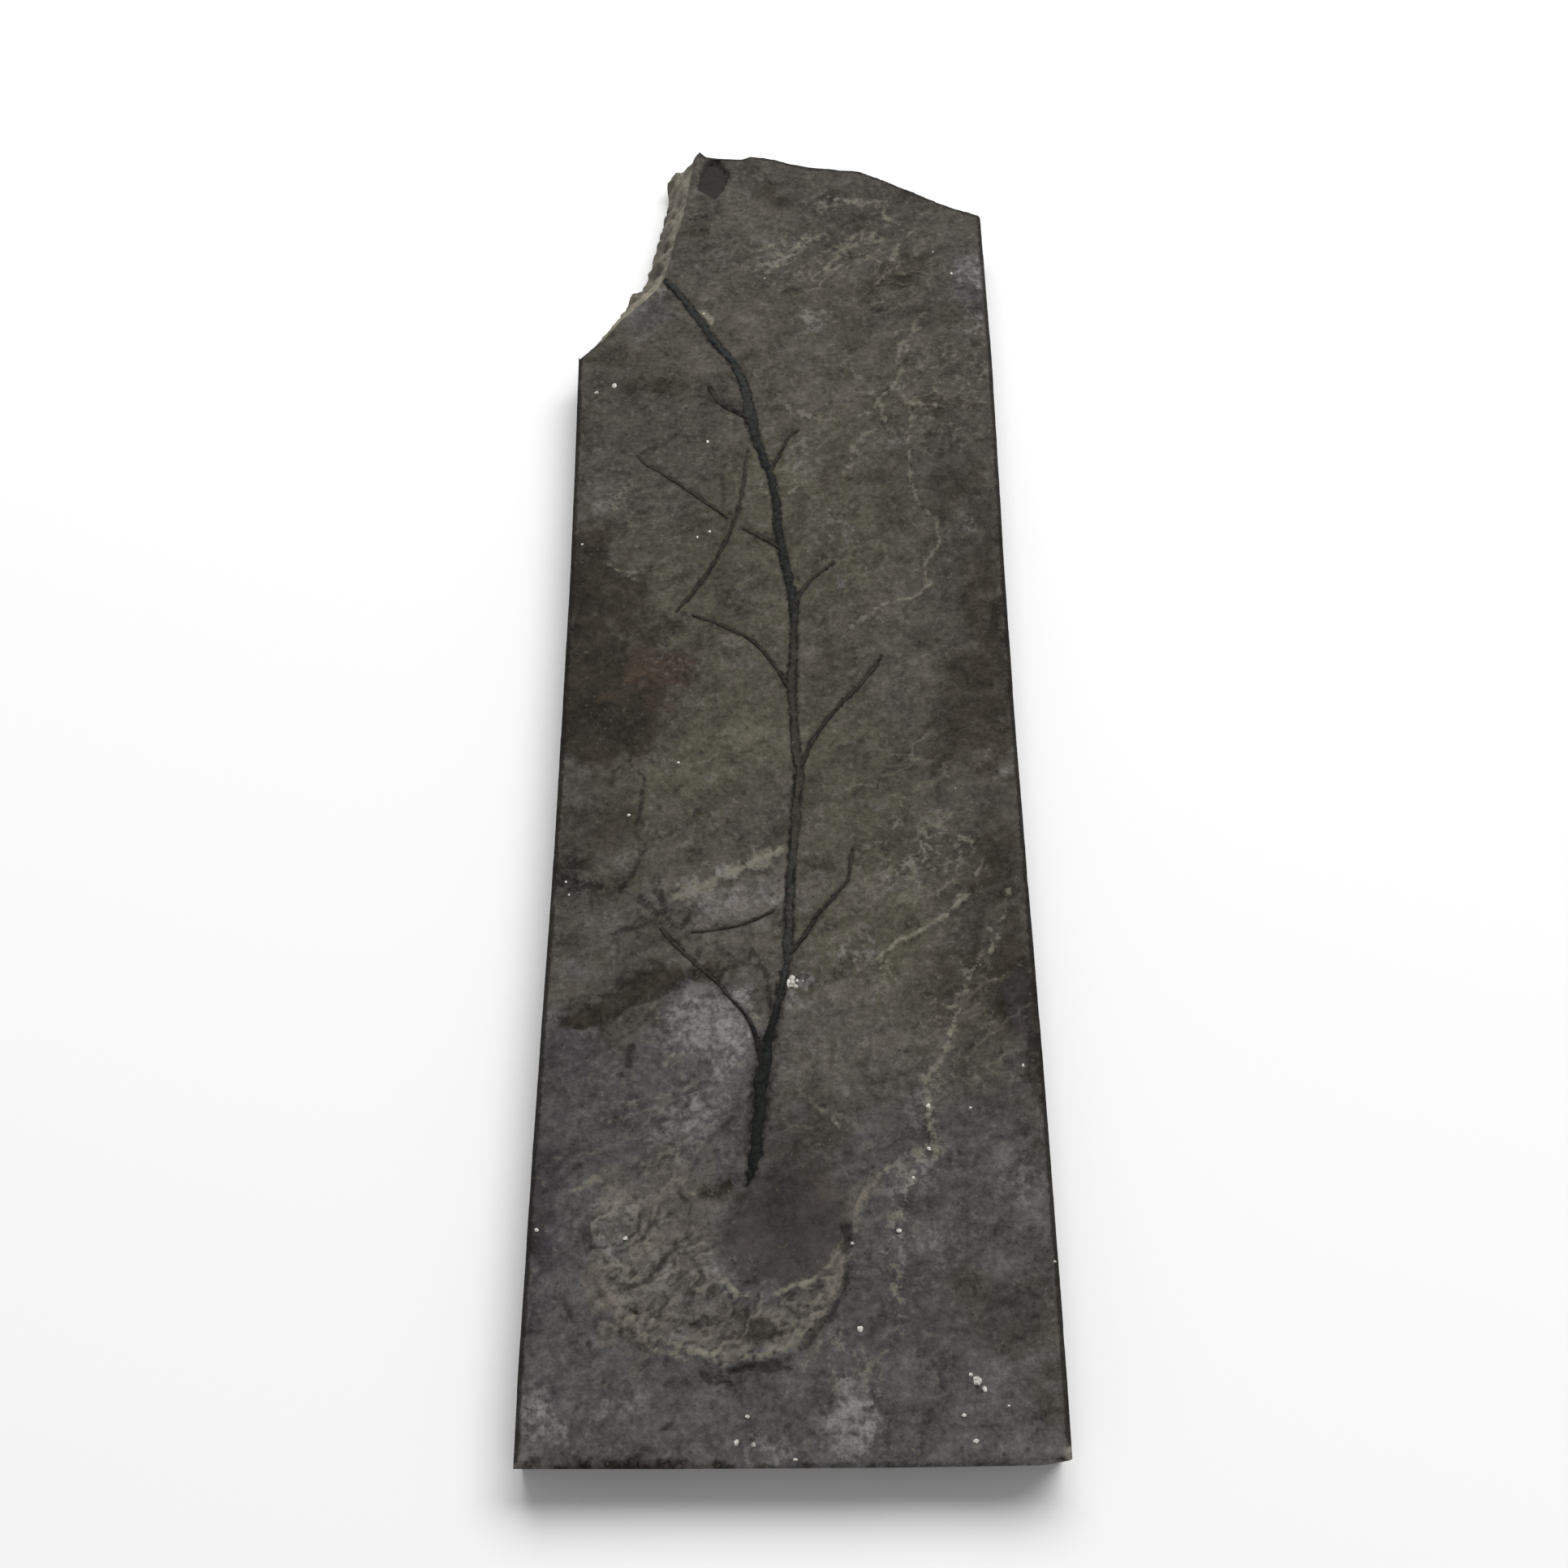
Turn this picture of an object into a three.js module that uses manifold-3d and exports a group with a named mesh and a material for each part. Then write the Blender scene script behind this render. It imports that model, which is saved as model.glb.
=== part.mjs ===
// Fossil plant on a plate of dark shale, lying flat with the fossil side up.
// Three edges are sawn, the far end is broken, and a corner of it has flaked away in steps.
// Units are millimetres. The origin is the middle of the underside, +X across the plate,
// +Y along it to the broken end and +Z up.

import * as THREE from 'three';
import * as BufferGeometryUtils from 'three/addons/utils/BufferGeometryUtils.js';
import Module from 'manifold-3d';

const wasm = await Module();
wasm.setup();

// Driving dimensions
const WIDTH = 128;
const LENGTH = 400;
const THICKNESS = 14;
const FACE_Z = 13; // the bedding plane that the plant lies on
const FILM = 0.5; // depth of the plant's imprint in that plane
const PROUD = 0.125; // how far the carbon film stands above the plane
const GAP = 0.3; // clear space beside the film
const FLAKE = 0.375; // thickness of the thin sheets of shale left on the plane
const FLAKE_SLOPE = 0.45; // how far their edges slope in
const CRESCENT_RISE = 0.5; // height of the crescent's low rock above the plane
const CRESCENT_SLOPE = 0.7;
const CREST_SLOPE = 0.8; // the crest on its right part rises to the full thickness
const LEFT_CREST_RISE = 0.875;
const LEFT_CREST_SLOPE = 0.9;
const SOCKET_DEPTH = 1.25;
const SOCKET_SLOPE = 0.5;
const CHIP_HEIGHT = 3; // height of the chipped part of the near right corner, below the plane
const ABOVE = THICKNESS + 1; // top of what is cut away, clear of the slab

const HALF_W = WIDTH / 2;
const HALF_L = LENGTH / 2;

// Materials
const shale = new THREE.MeshStandardMaterial({ color: 0x55524a, roughness: 0.82, metalness: 0 });
const carbon = new THREE.MeshStandardMaterial({ color: 0x2a2d2b, roughness: 0.55, metalness: 0 });

// Solids and meshes
function toSolid(geometry) {
  const bare = geometry.clone();
  bare.deleteAttribute('normal');
  bare.deleteAttribute('uv');
  const merged = BufferGeometryUtils.mergeVertices(bare, 1e-4);
  return new wasm.Manifold(new wasm.Mesh({
    numProp: 3,
    vertProperties: new Float32Array(merged.attributes.position.array),
    triVerts: new Uint32Array(merged.index.array),
  }));
}

function toMesh(name, solid, material) {
  const { vertProperties, triVerts } = solid.getMesh();
  const geometry = new THREE.BufferGeometry();
  geometry.setAttribute('position', new THREE.BufferAttribute(vertProperties, 3));
  geometry.setIndex(new THREE.BufferAttribute(triVerts, 1));
  geometry.computeVertexNormals();
  const mesh = new THREE.Mesh(geometry, material);
  mesh.name = name;
  return mesh;
}

const points = (pairs) => pairs.map(([x, y]) => new THREE.Vector2(x, y));

// A flat sheet between two heights, with sides that slope in by `slope` over its height
function sheet(outline, bottom, top, slope = 0) {
  const height = top - bottom;
  const geometry = new THREE.ExtrudeGeometry(new THREE.Shape(outline), {
    depth: slope ? height / 2 : height,
    bevelEnabled: slope > 0,
    bevelThickness: height / 2,
    bevelSize: slope,
    bevelOffset: -slope,
    bevelSegments: 1,
    steps: 1,
  });
  return toSolid(geometry.translate(0, 0, bottom));
}

// A flattened lump or dish, with flat facets
function lens(x, y, z, rx, ry, rz, turn = 0) {
  const geometry = new THREE.SphereGeometry(1, 14, 8).rotateX(Math.PI / 2);
  geometry.scale(rx, ry, rz).rotateZ(turn).translate(x, y, z);
  return toSolid(geometry);
}

// The broken corner. Each pair is the brink on the fossil face and, below it, the foot of the break.
const BREAK = [
  [-63.5, 114, -63.8, 115.5],
  [-60.2, 117.4, -61.2, 123.5],
  [-56.8, 121, -58, 129.6],
  [-53.8, 125.4, -55.7, 134.4],
  [-51.8, 128, -52.9, 137.4],
  [-50, 130.5, -52.6, 141],
  [-48.2, 132.6, -50.2, 145.2],
  [-46, 134.5, -46.6, 148.4],
  [-42.5, 138.5, -45.6, 152.6],
  [-39.4, 142.6, -43.8, 157],
  [-38, 146, -42.8, 161.4],
  [-36.7, 151.5, -41.3, 168.8],
  [-35.7, 157, -40.6, 174],
  [-35.1, 161, -39.4, 179.6],
  [-33.2, 167.5, -39.1, 184.6],
  [-32.5, 172, -38.6, 188.4],
  [-31.4, 178.5, -39, 192.6],
  [-30.8, 184, -38.4, 196],
  [-30, 190, -37, 198.6],
  [-29.4, 196, -33.4, 199.8],
];

// The rest of the outline, clockwise from the tip: broken end, sawn right side, near edge, left side
const PEAK = [-28, HALF_L];
const BROKEN_END = [
  [-25.6, 197.4], [-22, 196.8], [-13.5, 196.3], [-11.2, 197.3], [-5.3, 196.4], [0, 194.8],
  [7.5, 192.7], [13.8, 192], [18, 191.1], [23, 190.8], [26.5, 189.6], [35, 185],
  [41, 181.6], [47, 178.5], [55, 174.8], [62.8, 171.6],
];
const SAWN_SIDES = [
  [63.4, 170.6], [63.8, 115], [62.9, 40], [62.9, -20], [63.4, -80], [63.8, -130], [HALF_W, -180],
  [63.8, -198.6], [57, -199.7], [20, -HALF_L], [-30, -HALF_L], [-63.8, -199.8],
  [-HALF_W, -180], [-63.6, -125], [-62.6, -50], [-62.5, 40], [-63.3, 90],
];

// Beds of the shale, from the fossil face down: top height, share of the way from brink to foot
const BEDS = [
  [FACE_Z, 0],
  [11.75, 0.2],
  [10.25, 0.36],
  [8.75, 0.54],
  [7, 0.72],
  [5.25, 0.88],
  [3.25, 1],
];

// A repeatable uneven value from -1 to 1, for ledges that wander
const uneven = (i, bed) => Math.sin(2.7 * i + 1.9 * bed) * Math.cos(1.3 * i - 2.3 * bed);

function bedOutline(bed, share) {
  const ledge = BREAK.map(([bx, by, fx, fy], i) => {
    const wander = bed === 0 || share === 1 || i === 0 ? 0 : 0.14 * uneven(i, bed);
    return [bx + (fx - bx) * (share + wander), by + (fy - by) * (share + wander)];
  });
  const end = BROKEN_END.map(([x, y], i) => [x, y - (bed === 0 ? 0 : 0.9 * Math.abs(uneven(i, bed)))]);
  return points([...ledge, PEAK, ...end, ...SAWN_SIDES]);
}

function beds() {
  const stack = BEDS.map(([top, share], bed) => sheet(bedOutline(bed, share), 0, top));
  return stack.reduce((all, one) => all.add(one));
}

// Thin sheets of the next bed that stayed on the fossil face
const RIGHT_SHEET = points([
  [62.6, -4], [54, 1], [43, 9], [33, 17], [25, 25.5], [28, 26.6], [33, 28], [38, 29.5], [41, 33],
  [40, 36], [40, 40], [43, 44], [44.5, 49], [44, 54], [41, 58], [38, 62], [37, 68], [37.4, 80],
  [33, 84], [30, 88], [29.4, 93], [31, 99], [34.6, 104], [36, 110], [38, 118], [46, 121.5],
  [55, 122], [63.2, 126], [63.2, 115], [62.7, 90], [62.3, 40],
]);
const LOWER_SHEET = points([
  [63, -62], [57, -58], [47, -62], [42, -66], [36, -69.5], [30, -73], [26, -76], [32, -79],
  [41, -84], [43, -93], [41, -99], [40, -104], [35, -108], [33.6, -117], [34, -125], [33, -129],
  [30, -136], [26.6, -141], [25.4, -148], [31, -156], [43, -162], [54, -165], [63.2, -172],
  [63.2, -130], [62.8, -90],
]);
const LEFT_SHEET = points([
  [-62, -13], [-54, -15.5], [-47, -18], [-43.4, -22], [-40.7, -26.4], [-43.5, -32.7], [-40.3, -36.4],
  [-40.7, -44], [-40.3, -49], [-41.6, -56.4], [-45, -59.5], [-50, -59.5], [-55.3, -57.3], [-62, -60],
]);
const TOP_SHEET = points([
  [-19, 172], [-12, 174.5], [-7, 179], [-2, 181], [5, 178.5], [11, 177], [17, 179.5], [25, 176.5],
  [31, 178], [36, 174], [29, 170.5], [19, 167.5], [13, 162], [6, 160.5], [-1, 165], [-11, 167],
]);

function thinSheets() {
  return [RIGHT_SHEET, LOWER_SHEET, LEFT_SHEET, TOP_SHEET].map((outline) =>
    sheet(outline, FACE_Z - FLAKE, FACE_Z + FLAKE, FLAKE_SLOPE));
}

// The raised crescent round the smooth hollow below the foot of the stem
const CRESCENT = points([
  [13.6, -147.5], [14, -152], [13.6, -156], [12.2, -160], [9.6, -165], [7, -168.4], [4, -171.6],
  [0, -175], [-5, -177.2], [-10, -178.2], [-15, -179.6], [-19, -178.6], [-24, -176.4],
  [-29, -175.6], [-36, -173], [-41, -171], [-43.4, -167], [-45, -163], [-47.2, -158],
  [-48.8, -153], [-50, -146], [-46, -140.5], [-38, -143], [-33, -139.6], [-27, -144.4],
  [-21.6, -147], [-19, -152.4], [-16.4, -157.4], [-11, -161], [-3, -162], [1, -159.6],
  [5, -158.8], [9, -156], [11.6, -151.6],
]);
const CREST = points([
  [13, -150.6], [12.8, -156], [11, -160.4], [8, -165], [3.4, -170.2], [-1.4, -173.6], [-8, -176],
  [-16, -177.6], [-23.6, -174.6], [-29, -173], [-25, -171], [-17.4, -173.4], [-9, -172.6],
  [-3, -169.8], [2.6, -165.6], [7.4, -160.8], [10.4, -156],
]);
const CREST_LEFT = points([
  [-30, -170.6], [-38, -169.4], [-42, -164], [-45, -157], [-47, -149.6], [-42.6, -147],
  [-39, -153], [-34.4, -156.4], [-31.6, -162],
]);

function crescent() {
  const low = sheet(CRESCENT, FACE_Z - CRESCENT_RISE, FACE_Z + CRESCENT_RISE, CRESCENT_SLOPE);
  const crest = sheet(CREST, FACE_Z, THICKNESS, CREST_SLOPE);
  const left = sheet(CREST_LEFT, FACE_Z, FACE_Z + LEFT_CREST_RISE, LEFT_CREST_SLOPE);
  return low.add(crest).add(left);
}

// Low swellings of the face: x, y, half length, half width, height, turn in degrees
const SWELLINGS = [
  [-13, -52.5, 12, 1.7, 0.4, 17],
  [57, 148, 5.5, 4.5, 0.4, 20],
  [28, 164, 9, 2.4, 0.35, 24],
  [16, 152, 8, 1.8, 0.35, 40],
  [-9, 187, 6, 3, 0.3, -10],
  [-40, -92, 9, 3, 0.3, 12],
  [14, -189, 5, 7, 0.35, 0],
  [-56, -188, 6, 4, 0.35, 10],
  [24, -126, 8, 2.2, 0.35, 35],
  [-22, -117, 7, 5, 0.25, 60],
];

// Pits in the face, the smooth hollow first: x, y, half length, half width, depth, turn in degrees
const FACE_PITS = [
  [1, -147.5, 12.2, 10.4, 0.9, 0],
  [13.4, -149.6, 1.1, 2, 0.9, 0],
  [-19, -137, 6.5, 2.2, 0.5, 8],
  [43, -183.4, 2.4, 2, 0.7, 40],
  [-37, -85, 5, 3.4, 0.4, 20],
  [-52, -92, 4.4, 2.6, 0.4, 10],
  [-28.4, -188, 1.1, 4.4, 0.5, -20],
  [-15.6, -181.6, 5, 0.9, 0.6, -18],
];

// Pits and gaping cracks in the crescent's rock, the same way
const CRESCENT_PITS = [
  [-19, -162, 2.6, 2.1, 0.9, 30],
  [-23, -169, 2.2, 1.5, 0.7, 0],
  [-4, -172, 3.2, 1.4, 0.9, 25],
  [-31, -155, 6.4, 0.8, 0.8, 48],
  [-37, -166.4, 3.4, 0.8, 0.8, 12],
];

const RADIANS = Math.PI / 180;

function lumps(list, level) {
  return list.map(([x, y, rx, ry, rz, turn]) => lens(x, y, level, rx, ry, rz, turn * RADIANS));
}

// The six-sided socket by the tip, where a flake has sprung out
const SOCKET = points([
  [-25.6, 195], [-21.4, 195], [-17.8, 190], [-19.8, 182.8], [-22.6, 179.8], [-28, 183], [-27.2, 190],
]);

// The chip out of the near right corner
const CHIP = points([[65, -193.4], [63.2, -194.4], [61.2, -198], [60, -201], [65, -201]]);

function smoothCurve(vectors) {
  return new THREE.CatmullRomCurve3(vectors, false, 'centripetal');
}

// A ribbon of carbon along a route of [x, y, width] points, widened on all sides by `grow`
function ribbon(route, spacing, grow = 0) {
  const curve = smoothCurve(route.map(([x, y]) => new THREE.Vector3(x, y, 0)));
  const widths = smoothCurve(route.map(([x, y, width]) => new THREE.Vector3(x, y, width)));
  const steps = Math.max(3, Math.round(curve.getLength() / spacing));
  const left = [];
  const right = [];
  for (let i = 0; i <= steps; i += 1) {
    const u = i / steps;
    const centre = curve.getPoint(u);
    const along = curve.getTangent(u);
    const reach = (i === steps ? grow : 0) - (i === 0 ? grow : 0);
    const half = widths.getPoint(u).z / 2 + grow;
    const x = centre.x + along.x * reach;
    const y = centre.y + along.y * reach;
    left.push([x - along.y * half, y + along.x * half]);
    right.push([x + along.y * half, y - along.x * half]);
  }
  return points([...left, ...right.reverse()]);
}

// The plant, by its forks: [name, spacing of the sections, route of x, y, width]
const STEM = ['main_stem', 5.5, [
  [-37.6, 145, 2.2], [-35, 141.5, 2.6], [-31.5, 136.5, 2.8], [-25.8, 128, 3.2], [-22.5, 121.7, 3],
  [-18.5, 116, 3], [-15.3, 111, 3], [-13, 105, 3], [-11.6, 99.5, 3], [-11.2, 94.5, 3.8],
  [-10.3, 90, 3.8], [-9.4, 85.5, 3.2], [-7.5, 80, 2.8], [-4.4, 70, 2.7], [-3.3, 65, 2.6],
  [-2.7, 58, 2.6], [-2.4, 50, 3], [0.2, 37, 2.6], [1.9, 28, 3], [1.9, 20, 2.4], [1.8, 10.5, 2.4],
  [1.1, 2, 2.8], [1.3, -5, 2.3], [2.2, -18, 2.5], [3, -24, 3], [2.5, -32, 2.5], [1.3, -45, 2.5],
  [0.4, -56, 2.6], [-0.1, -70, 2.6], [-0.3, -76, 3], [-1, -81, 2.4], [-3, -91, 2.4],
  [-4.4, -96.4, 2.8], [-6.4, -105.5, 4.2], [-7.3, -111, 4.6], [-8.2, -123.5, 3.9],
  [-8.9, -129, 3.2], [-9.8, -133.7, 2.2], [-10.8, -136.6, 1.2],
]];

const BRANCHES = [
  ['branch_top_left', 4, [
    [-11, 91.5, 1.8], [-15, 94.5, 1.5], [-18.5, 96.4, 1.4], [-20.7, 98.6, 2], [-22.5, 101.8, 1.2],
    [-23.6, 104, 1],
  ]],
  ['branch_top_right', 4, [
    [-5.2, 71.6, 1.4], [-3.5, 75.5, 1.3], [-1.6, 79, 1.1], [-0.3, 81.8, 1], [1.1, 85, 1], [3.8, 87.3, 1],
  ]],
  ['branch_long_left', 4, [
    [-1.6, 45.4, 1.6], [-6.2, 48.6, 1.5], [-9.8, 50.9, 1.3], [-12.8, 52.3, 1],
  ]],
  ['branch_long_left_tip', 5, [
    [-17.6, 56, 1.1], [-19.8, 58.2, 1.2], [-24.4, 62.3, 1.2], [-28.9, 65.9, 1.1], [-33.5, 69.5, 1.1],
    [-38, 73.2, 1.1], [-42.1, 75.5, 1], [-44.5, 78.5, 1],
  ]],
  ['twig_across', 6, [
    [-31.8, 24.5, 1], [-28.9, 28.2, 1.2], [-25.3, 33.5, 1.3], [-21.6, 39.5, 1.2], [-18.9, 45.5, 1.2],
    [-16.6, 51, 1.1], [-14.6, 57.3, 1.1], [-13.3, 63.6, 1], [-12.5, 70, 1], [-11.5, 80, 1],
  ]],
  ['branch_middle_right', 4, [
    [1.6, 25.6, 1.8], [3.8, 30.5, 1.6], [6.5, 34.5, 1.3], [10.2, 37.7, 1], [13.4, 40.4, 1],
  ]],
  ['branch_middle_left', 5, [
    [1.2, -1.6, 1.8], [-2.5, 5, 1.5], [-5.3, 9.5, 1.4], [-8.5, 13.6, 1.2], [-12.5, 16.8, 1.2],
    [-16.6, 18.6, 1.1], [-21.6, 21.4, 1], [-27, 23.2, 1],
  ]],
  ['branch_long_right', 5, [
    [2.8, -25.6, 1.8], [4.3, -22.4, 1.6], [5.6, -18.2, 1.5], [8.4, -13.6, 1.4], [11.1, -9.5, 1.3],
    [15.6, -4.1, 1.2], [20.2, 0.5, 1.2], [23.8, 5.5, 1.3], [26.6, 10, 1.1],
  ]],
  ['branch_low_right', 5, [
    [-0.6, -78.4, 1.8], [3.8, -73.2, 1.5], [7.5, -66.8, 1.3], [12, -61.8, 1.2], [15.4, -57.9, 1],
    [16.2, -53.6, 1], [17, -48.4, 1],
  ]],
  ['twig_thin_left', 6, [
    [-3.9, -65.6, 1], [-8, -67.7, 1], [-13.5, -70, 1], [-20.7, -71.2, 1], [-25.6, -71.7, 1],
  ]],
  ['branch_low_left', 5, [
    [-7, -107, 2.4], [-8.9, -98.2, 1.6], [-11.6, -93.6, 1.3], [-15.3, -89.5, 1.2], [-18.9, -85, 1.3],
    [-22.5, -81.8, 1.3], [-28, -76.8, 1.2], [-31.6, -73.2, 1.2], [-33.8, -70.4, 1],
  ]],
];

const FLOOR_Z = FACE_Z - FILM;

const film = ([, spacing, route]) => sheet(ribbon(route, spacing), FLOOR_Z, FACE_Z + PROUD);
const bed = ([, spacing, route]) => sheet(ribbon(route, spacing, GAP), FLOOR_Z, ABOVE);

// The slab: beds, thin sheets, crescent and swellings, less the pits, socket, chip and plant's imprint
function shaleSlab() {
  let slab = beds();
  for (const raised of [...thinSheets(), crescent(), ...lumps(SWELLINGS, FACE_Z)]) {
    slab = slab.add(raised);
  }
  const sunk = [
    ...lumps(FACE_PITS, FACE_Z),
    ...lumps(CRESCENT_PITS, FACE_Z + CRESCENT_RISE),
    sheet(SOCKET, FACE_Z - SOCKET_DEPTH, FACE_Z + 1, SOCKET_SLOPE),
    sheet(CHIP, FACE_Z - CHIP_HEIGHT, ABOVE),
    ...[STEM, ...BRANCHES].map(bed),
  ];
  for (const cut of sunk) {
    slab = slab.subtract(cut);
  }
  return slab;
}

const plate = new THREE.Group();
plate.add(toMesh('shale_slab', shaleSlab(), shale));
plate.add(toMesh(STEM[0], film(STEM), carbon));
for (const branch of BRANCHES) {
  const clearOfStem = film(branch).subtract(bed(STEM));
  plate.add(toMesh(branch[0], clearOfStem, carbon));
}

export default plate;
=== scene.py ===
import math

import bpy
import numpy as np
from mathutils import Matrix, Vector


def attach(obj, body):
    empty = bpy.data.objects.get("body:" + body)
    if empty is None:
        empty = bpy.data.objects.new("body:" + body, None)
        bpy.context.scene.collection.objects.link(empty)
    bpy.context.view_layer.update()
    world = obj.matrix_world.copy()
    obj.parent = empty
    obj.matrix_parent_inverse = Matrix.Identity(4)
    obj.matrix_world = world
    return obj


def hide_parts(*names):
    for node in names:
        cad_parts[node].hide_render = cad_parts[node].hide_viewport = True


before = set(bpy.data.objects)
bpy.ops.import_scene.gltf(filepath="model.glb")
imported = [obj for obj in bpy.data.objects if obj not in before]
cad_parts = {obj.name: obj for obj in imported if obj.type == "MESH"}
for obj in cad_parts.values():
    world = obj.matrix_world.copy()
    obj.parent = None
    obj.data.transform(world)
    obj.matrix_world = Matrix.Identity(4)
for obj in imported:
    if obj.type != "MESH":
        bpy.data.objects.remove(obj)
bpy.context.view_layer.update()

MM = 0.001

# Camera and studio
# The plate is seen from just over its near edge, tilted 24 degrees towards the far end, as the
# photograph was taken by hand. A white floor, a white surround and one big soft lamp light it.
FACE_Z = 13.0
EYE_MM = (-2.1, -202.9, FACE_Z + 390.5)
FIELD_DEG = 53.0
TILT_DEG = 23.945
TURN_DEG = -0.311
SENSOR_WIDE = 36.0
FLOOR_SIZE = 6.0
FLOOR_DROP = 0.0002
PAPER = (0.93, 0.93, 0.93, 1)
SURROUND_LIGHT = 0.32
LAMP_AT = (0.62, 2.0, 2.3)
LAMP_WIDE = 4.2
LAMP_HIGH = 1.7
LAMP_WATTS = 122.0


def new_material(name):
    """A new material, its node tree and its main shader."""
    material = bpy.data.materials.new(name)
    material.use_nodes = True
    return material, material.node_tree, material.node_tree.nodes["Principled BSDF"]


bpy.ops.object.select_all(action="DESELECT")
bpy.ops.object.camera_add(
    location=[v * MM for v in EYE_MM],
    rotation=(math.radians(TILT_DEG), 0.0, math.radians(TURN_DEG)),
)
camera = bpy.context.object
camera.data.sensor_width = SENSOR_WIDE
camera.data.lens = SENSOR_WIDE / 2 / math.tan(math.radians(FIELD_DEG / 2))
camera.data.clip_start = 0.01
bpy.context.scene.camera = camera
bpy.context.scene.view_settings.view_transform = "Standard"

bpy.ops.mesh.primitive_plane_add(size=FLOOR_SIZE, location=(0, 0, -FLOOR_DROP))
floor = bpy.context.object
floor.name = "studio_floor"
paper, _, shader = new_material("white_paper")
shader.inputs["Base Color"].default_value = PAPER
shader.inputs["Roughness"].default_value = 0.9
shader.inputs["Specular IOR Level"].default_value = 0.1
floor.data.materials.append(paper)

surround = bpy.data.worlds.new("studio_surround")
surround.use_nodes = True
surround.node_tree.nodes["Background"].inputs["Color"].default_value = (1, 1, 1, 1)
surround.node_tree.nodes["Background"].inputs["Strength"].default_value = SURROUND_LIGHT
bpy.context.scene.world = surround

bpy.ops.object.light_add(type="AREA", location=LAMP_AT)
lamp = bpy.context.object
lamp.data.shape = "ELLIPSE"
lamp.data.size = LAMP_WIDE
lamp.data.size_y = LAMP_HIGH
lamp.data.energy = LAMP_WATTS
lamp.rotation_euler = Vector(LAMP_AT).to_track_quat("Z", "Y").to_euler()


# Shale slab
# One piece of dark shale. Three edges are sawn and the far end is broken, and its left corner has
# flaked away bed by bed. The upper face is a natural bedding plane with thin sheets of the next
# bed on it, a raised crescent round a smooth hollow, a sprung socket, cracks and mineral stains.
# In mm: the plate, its mesh's grid, and how high or deep each thing on its face is
PLATE_WIDE = 128
PLATE_LONG = 400
HIGHEST = 14.0
GRID = 0.8
FLAKE = 0.375
LEAF = 0.22
SMALL_LEAF = 0.14
CRAG = 0.3
SOCKET_DEEP = 1.25
IMPRINT = 0.2
CRACK_DEEP = 0.25
EDGE_WEAR = 0.35


def pairs(*numbers):
    """Points from a plain row of x, y, x, y."""
    return np.reshape(numbers, (-1, 2)).astype(float)


# The broken corner: each row is a point of its brink, x and y, and the point of its foot below it
BREAK = np.array([
    (-63.5, 114, -63.8, 115.5), (-60.2, 117.4, -61.2, 123.5), (-56.8, 121, -58, 129.6),
    (-53.8, 125.4, -55.7, 134.4), (-51.8, 128, -52.9, 137.4), (-50, 130.5, -52.6, 141),
    (-48.2, 132.6, -50.2, 145.2), (-46, 134.5, -46.6, 148.4), (-42.5, 138.5, -45.6, 152.6),
    (-39.4, 142.6, -43.8, 157), (-38, 146, -42.8, 161.4), (-36.7, 151.5, -41.3, 168.8),
    (-35.7, 157, -40.6, 174), (-35.1, 161, -39.4, 179.6), (-33.2, 167.5, -39.1, 184.6),
    (-32.5, 172, -38.6, 188.4), (-31.4, 178.5, -39, 192.6), (-30.8, 184, -38.4, 196),
    (-30, 190, -37, 198.6), (-29.4, 196, -33.4, 199.8), (-28, 200, -28, 200),
])
BRINK = BREAK[:, :2]
FOOT = BREAK[:, 2:]
BROKEN_END = pairs(
    -25.6,197.4, -22,196.8, -13.5,196.3, -11.2,197.3, -5.3,196.4, 0,194.8, 7.5,192.7, 13.8,192,
    18,191.1, 23,190.8, 26.5,189.6, 35,185, 41,181.6, 47,178.5, 55,174.8, 62.8,171.6)
SAWN_SIDES = pairs(
    63.4,170.6, 63.8,115, 62.9,40, 62.9,-20, 63.4,-80, 63.8,-130, 64,-180, 63.8,-198.6, 57,-199.7,
    20,-200, -30,-200, -63.8,-199.8, -64,-180, -63.6,-125, -62.6,-50, -62.5,40, -63.3,90)
OUTLINE = np.array([*FOOT, *BROKEN_END, *SAWN_SIDES])

# The beds it has broken through: height of each ledge, and where it starts from brink to foot
BEDS = [(11.75, 0.0), (10.25, 0.2), (8.75, 0.36), (7.0, 0.54), (5.25, 0.72), (3.25, 0.88)]

# Random values along each side of the squares that uneven values are drawn from
LATTICE = 64


def cloud(x, y, size, seed, octaves=4):
    """Smooth uneven values from about -1 to 1, with patches `size` mm across."""
    total, reach, weight = 0.0, 0.0, 1.0
    for octave in range(octaves):
        # Each finer layer is turned and moved, so that no grid shows
        lattice = np.random.default_rng(seed * 31 + octave).uniform(-1, 1, (LATTICE, LATTICE))
        turn = 0.6 + seed + 1.1 * octave
        c, s = math.cos(turn), math.sin(turn)
        u, v = (x * c - y * s) / size + 700.3, (x * s + y * c) / size + 900.7
        i, j = np.floor(u).astype(int), np.floor(v).astype(int)
        a, b = u - i, v - j
        a, b = a * a * (3 - 2 * a), b * b * (3 - 2 * b)
        i, j, k, m = i % LATTICE, j % LATTICE, (i + 1) % LATTICE, (j + 1) % LATTICE
        low = lattice[i, j] * (1 - a) + lattice[k, j] * a
        high = lattice[i, m] * (1 - a) + lattice[k, m] * a
        total = total + weight * (low * (1 - b) + high * b)
        reach += weight
        weight *= 0.55
        size = size / 2
    return total / reach * 1.6


def ramp(value, low, high):
    """0 below `low`, 1 above `high`, and a smooth rise between."""
    t = np.clip((value - low) / (high - low), 0, 1)
    return t * t * (3 - 2 * t)


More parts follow.
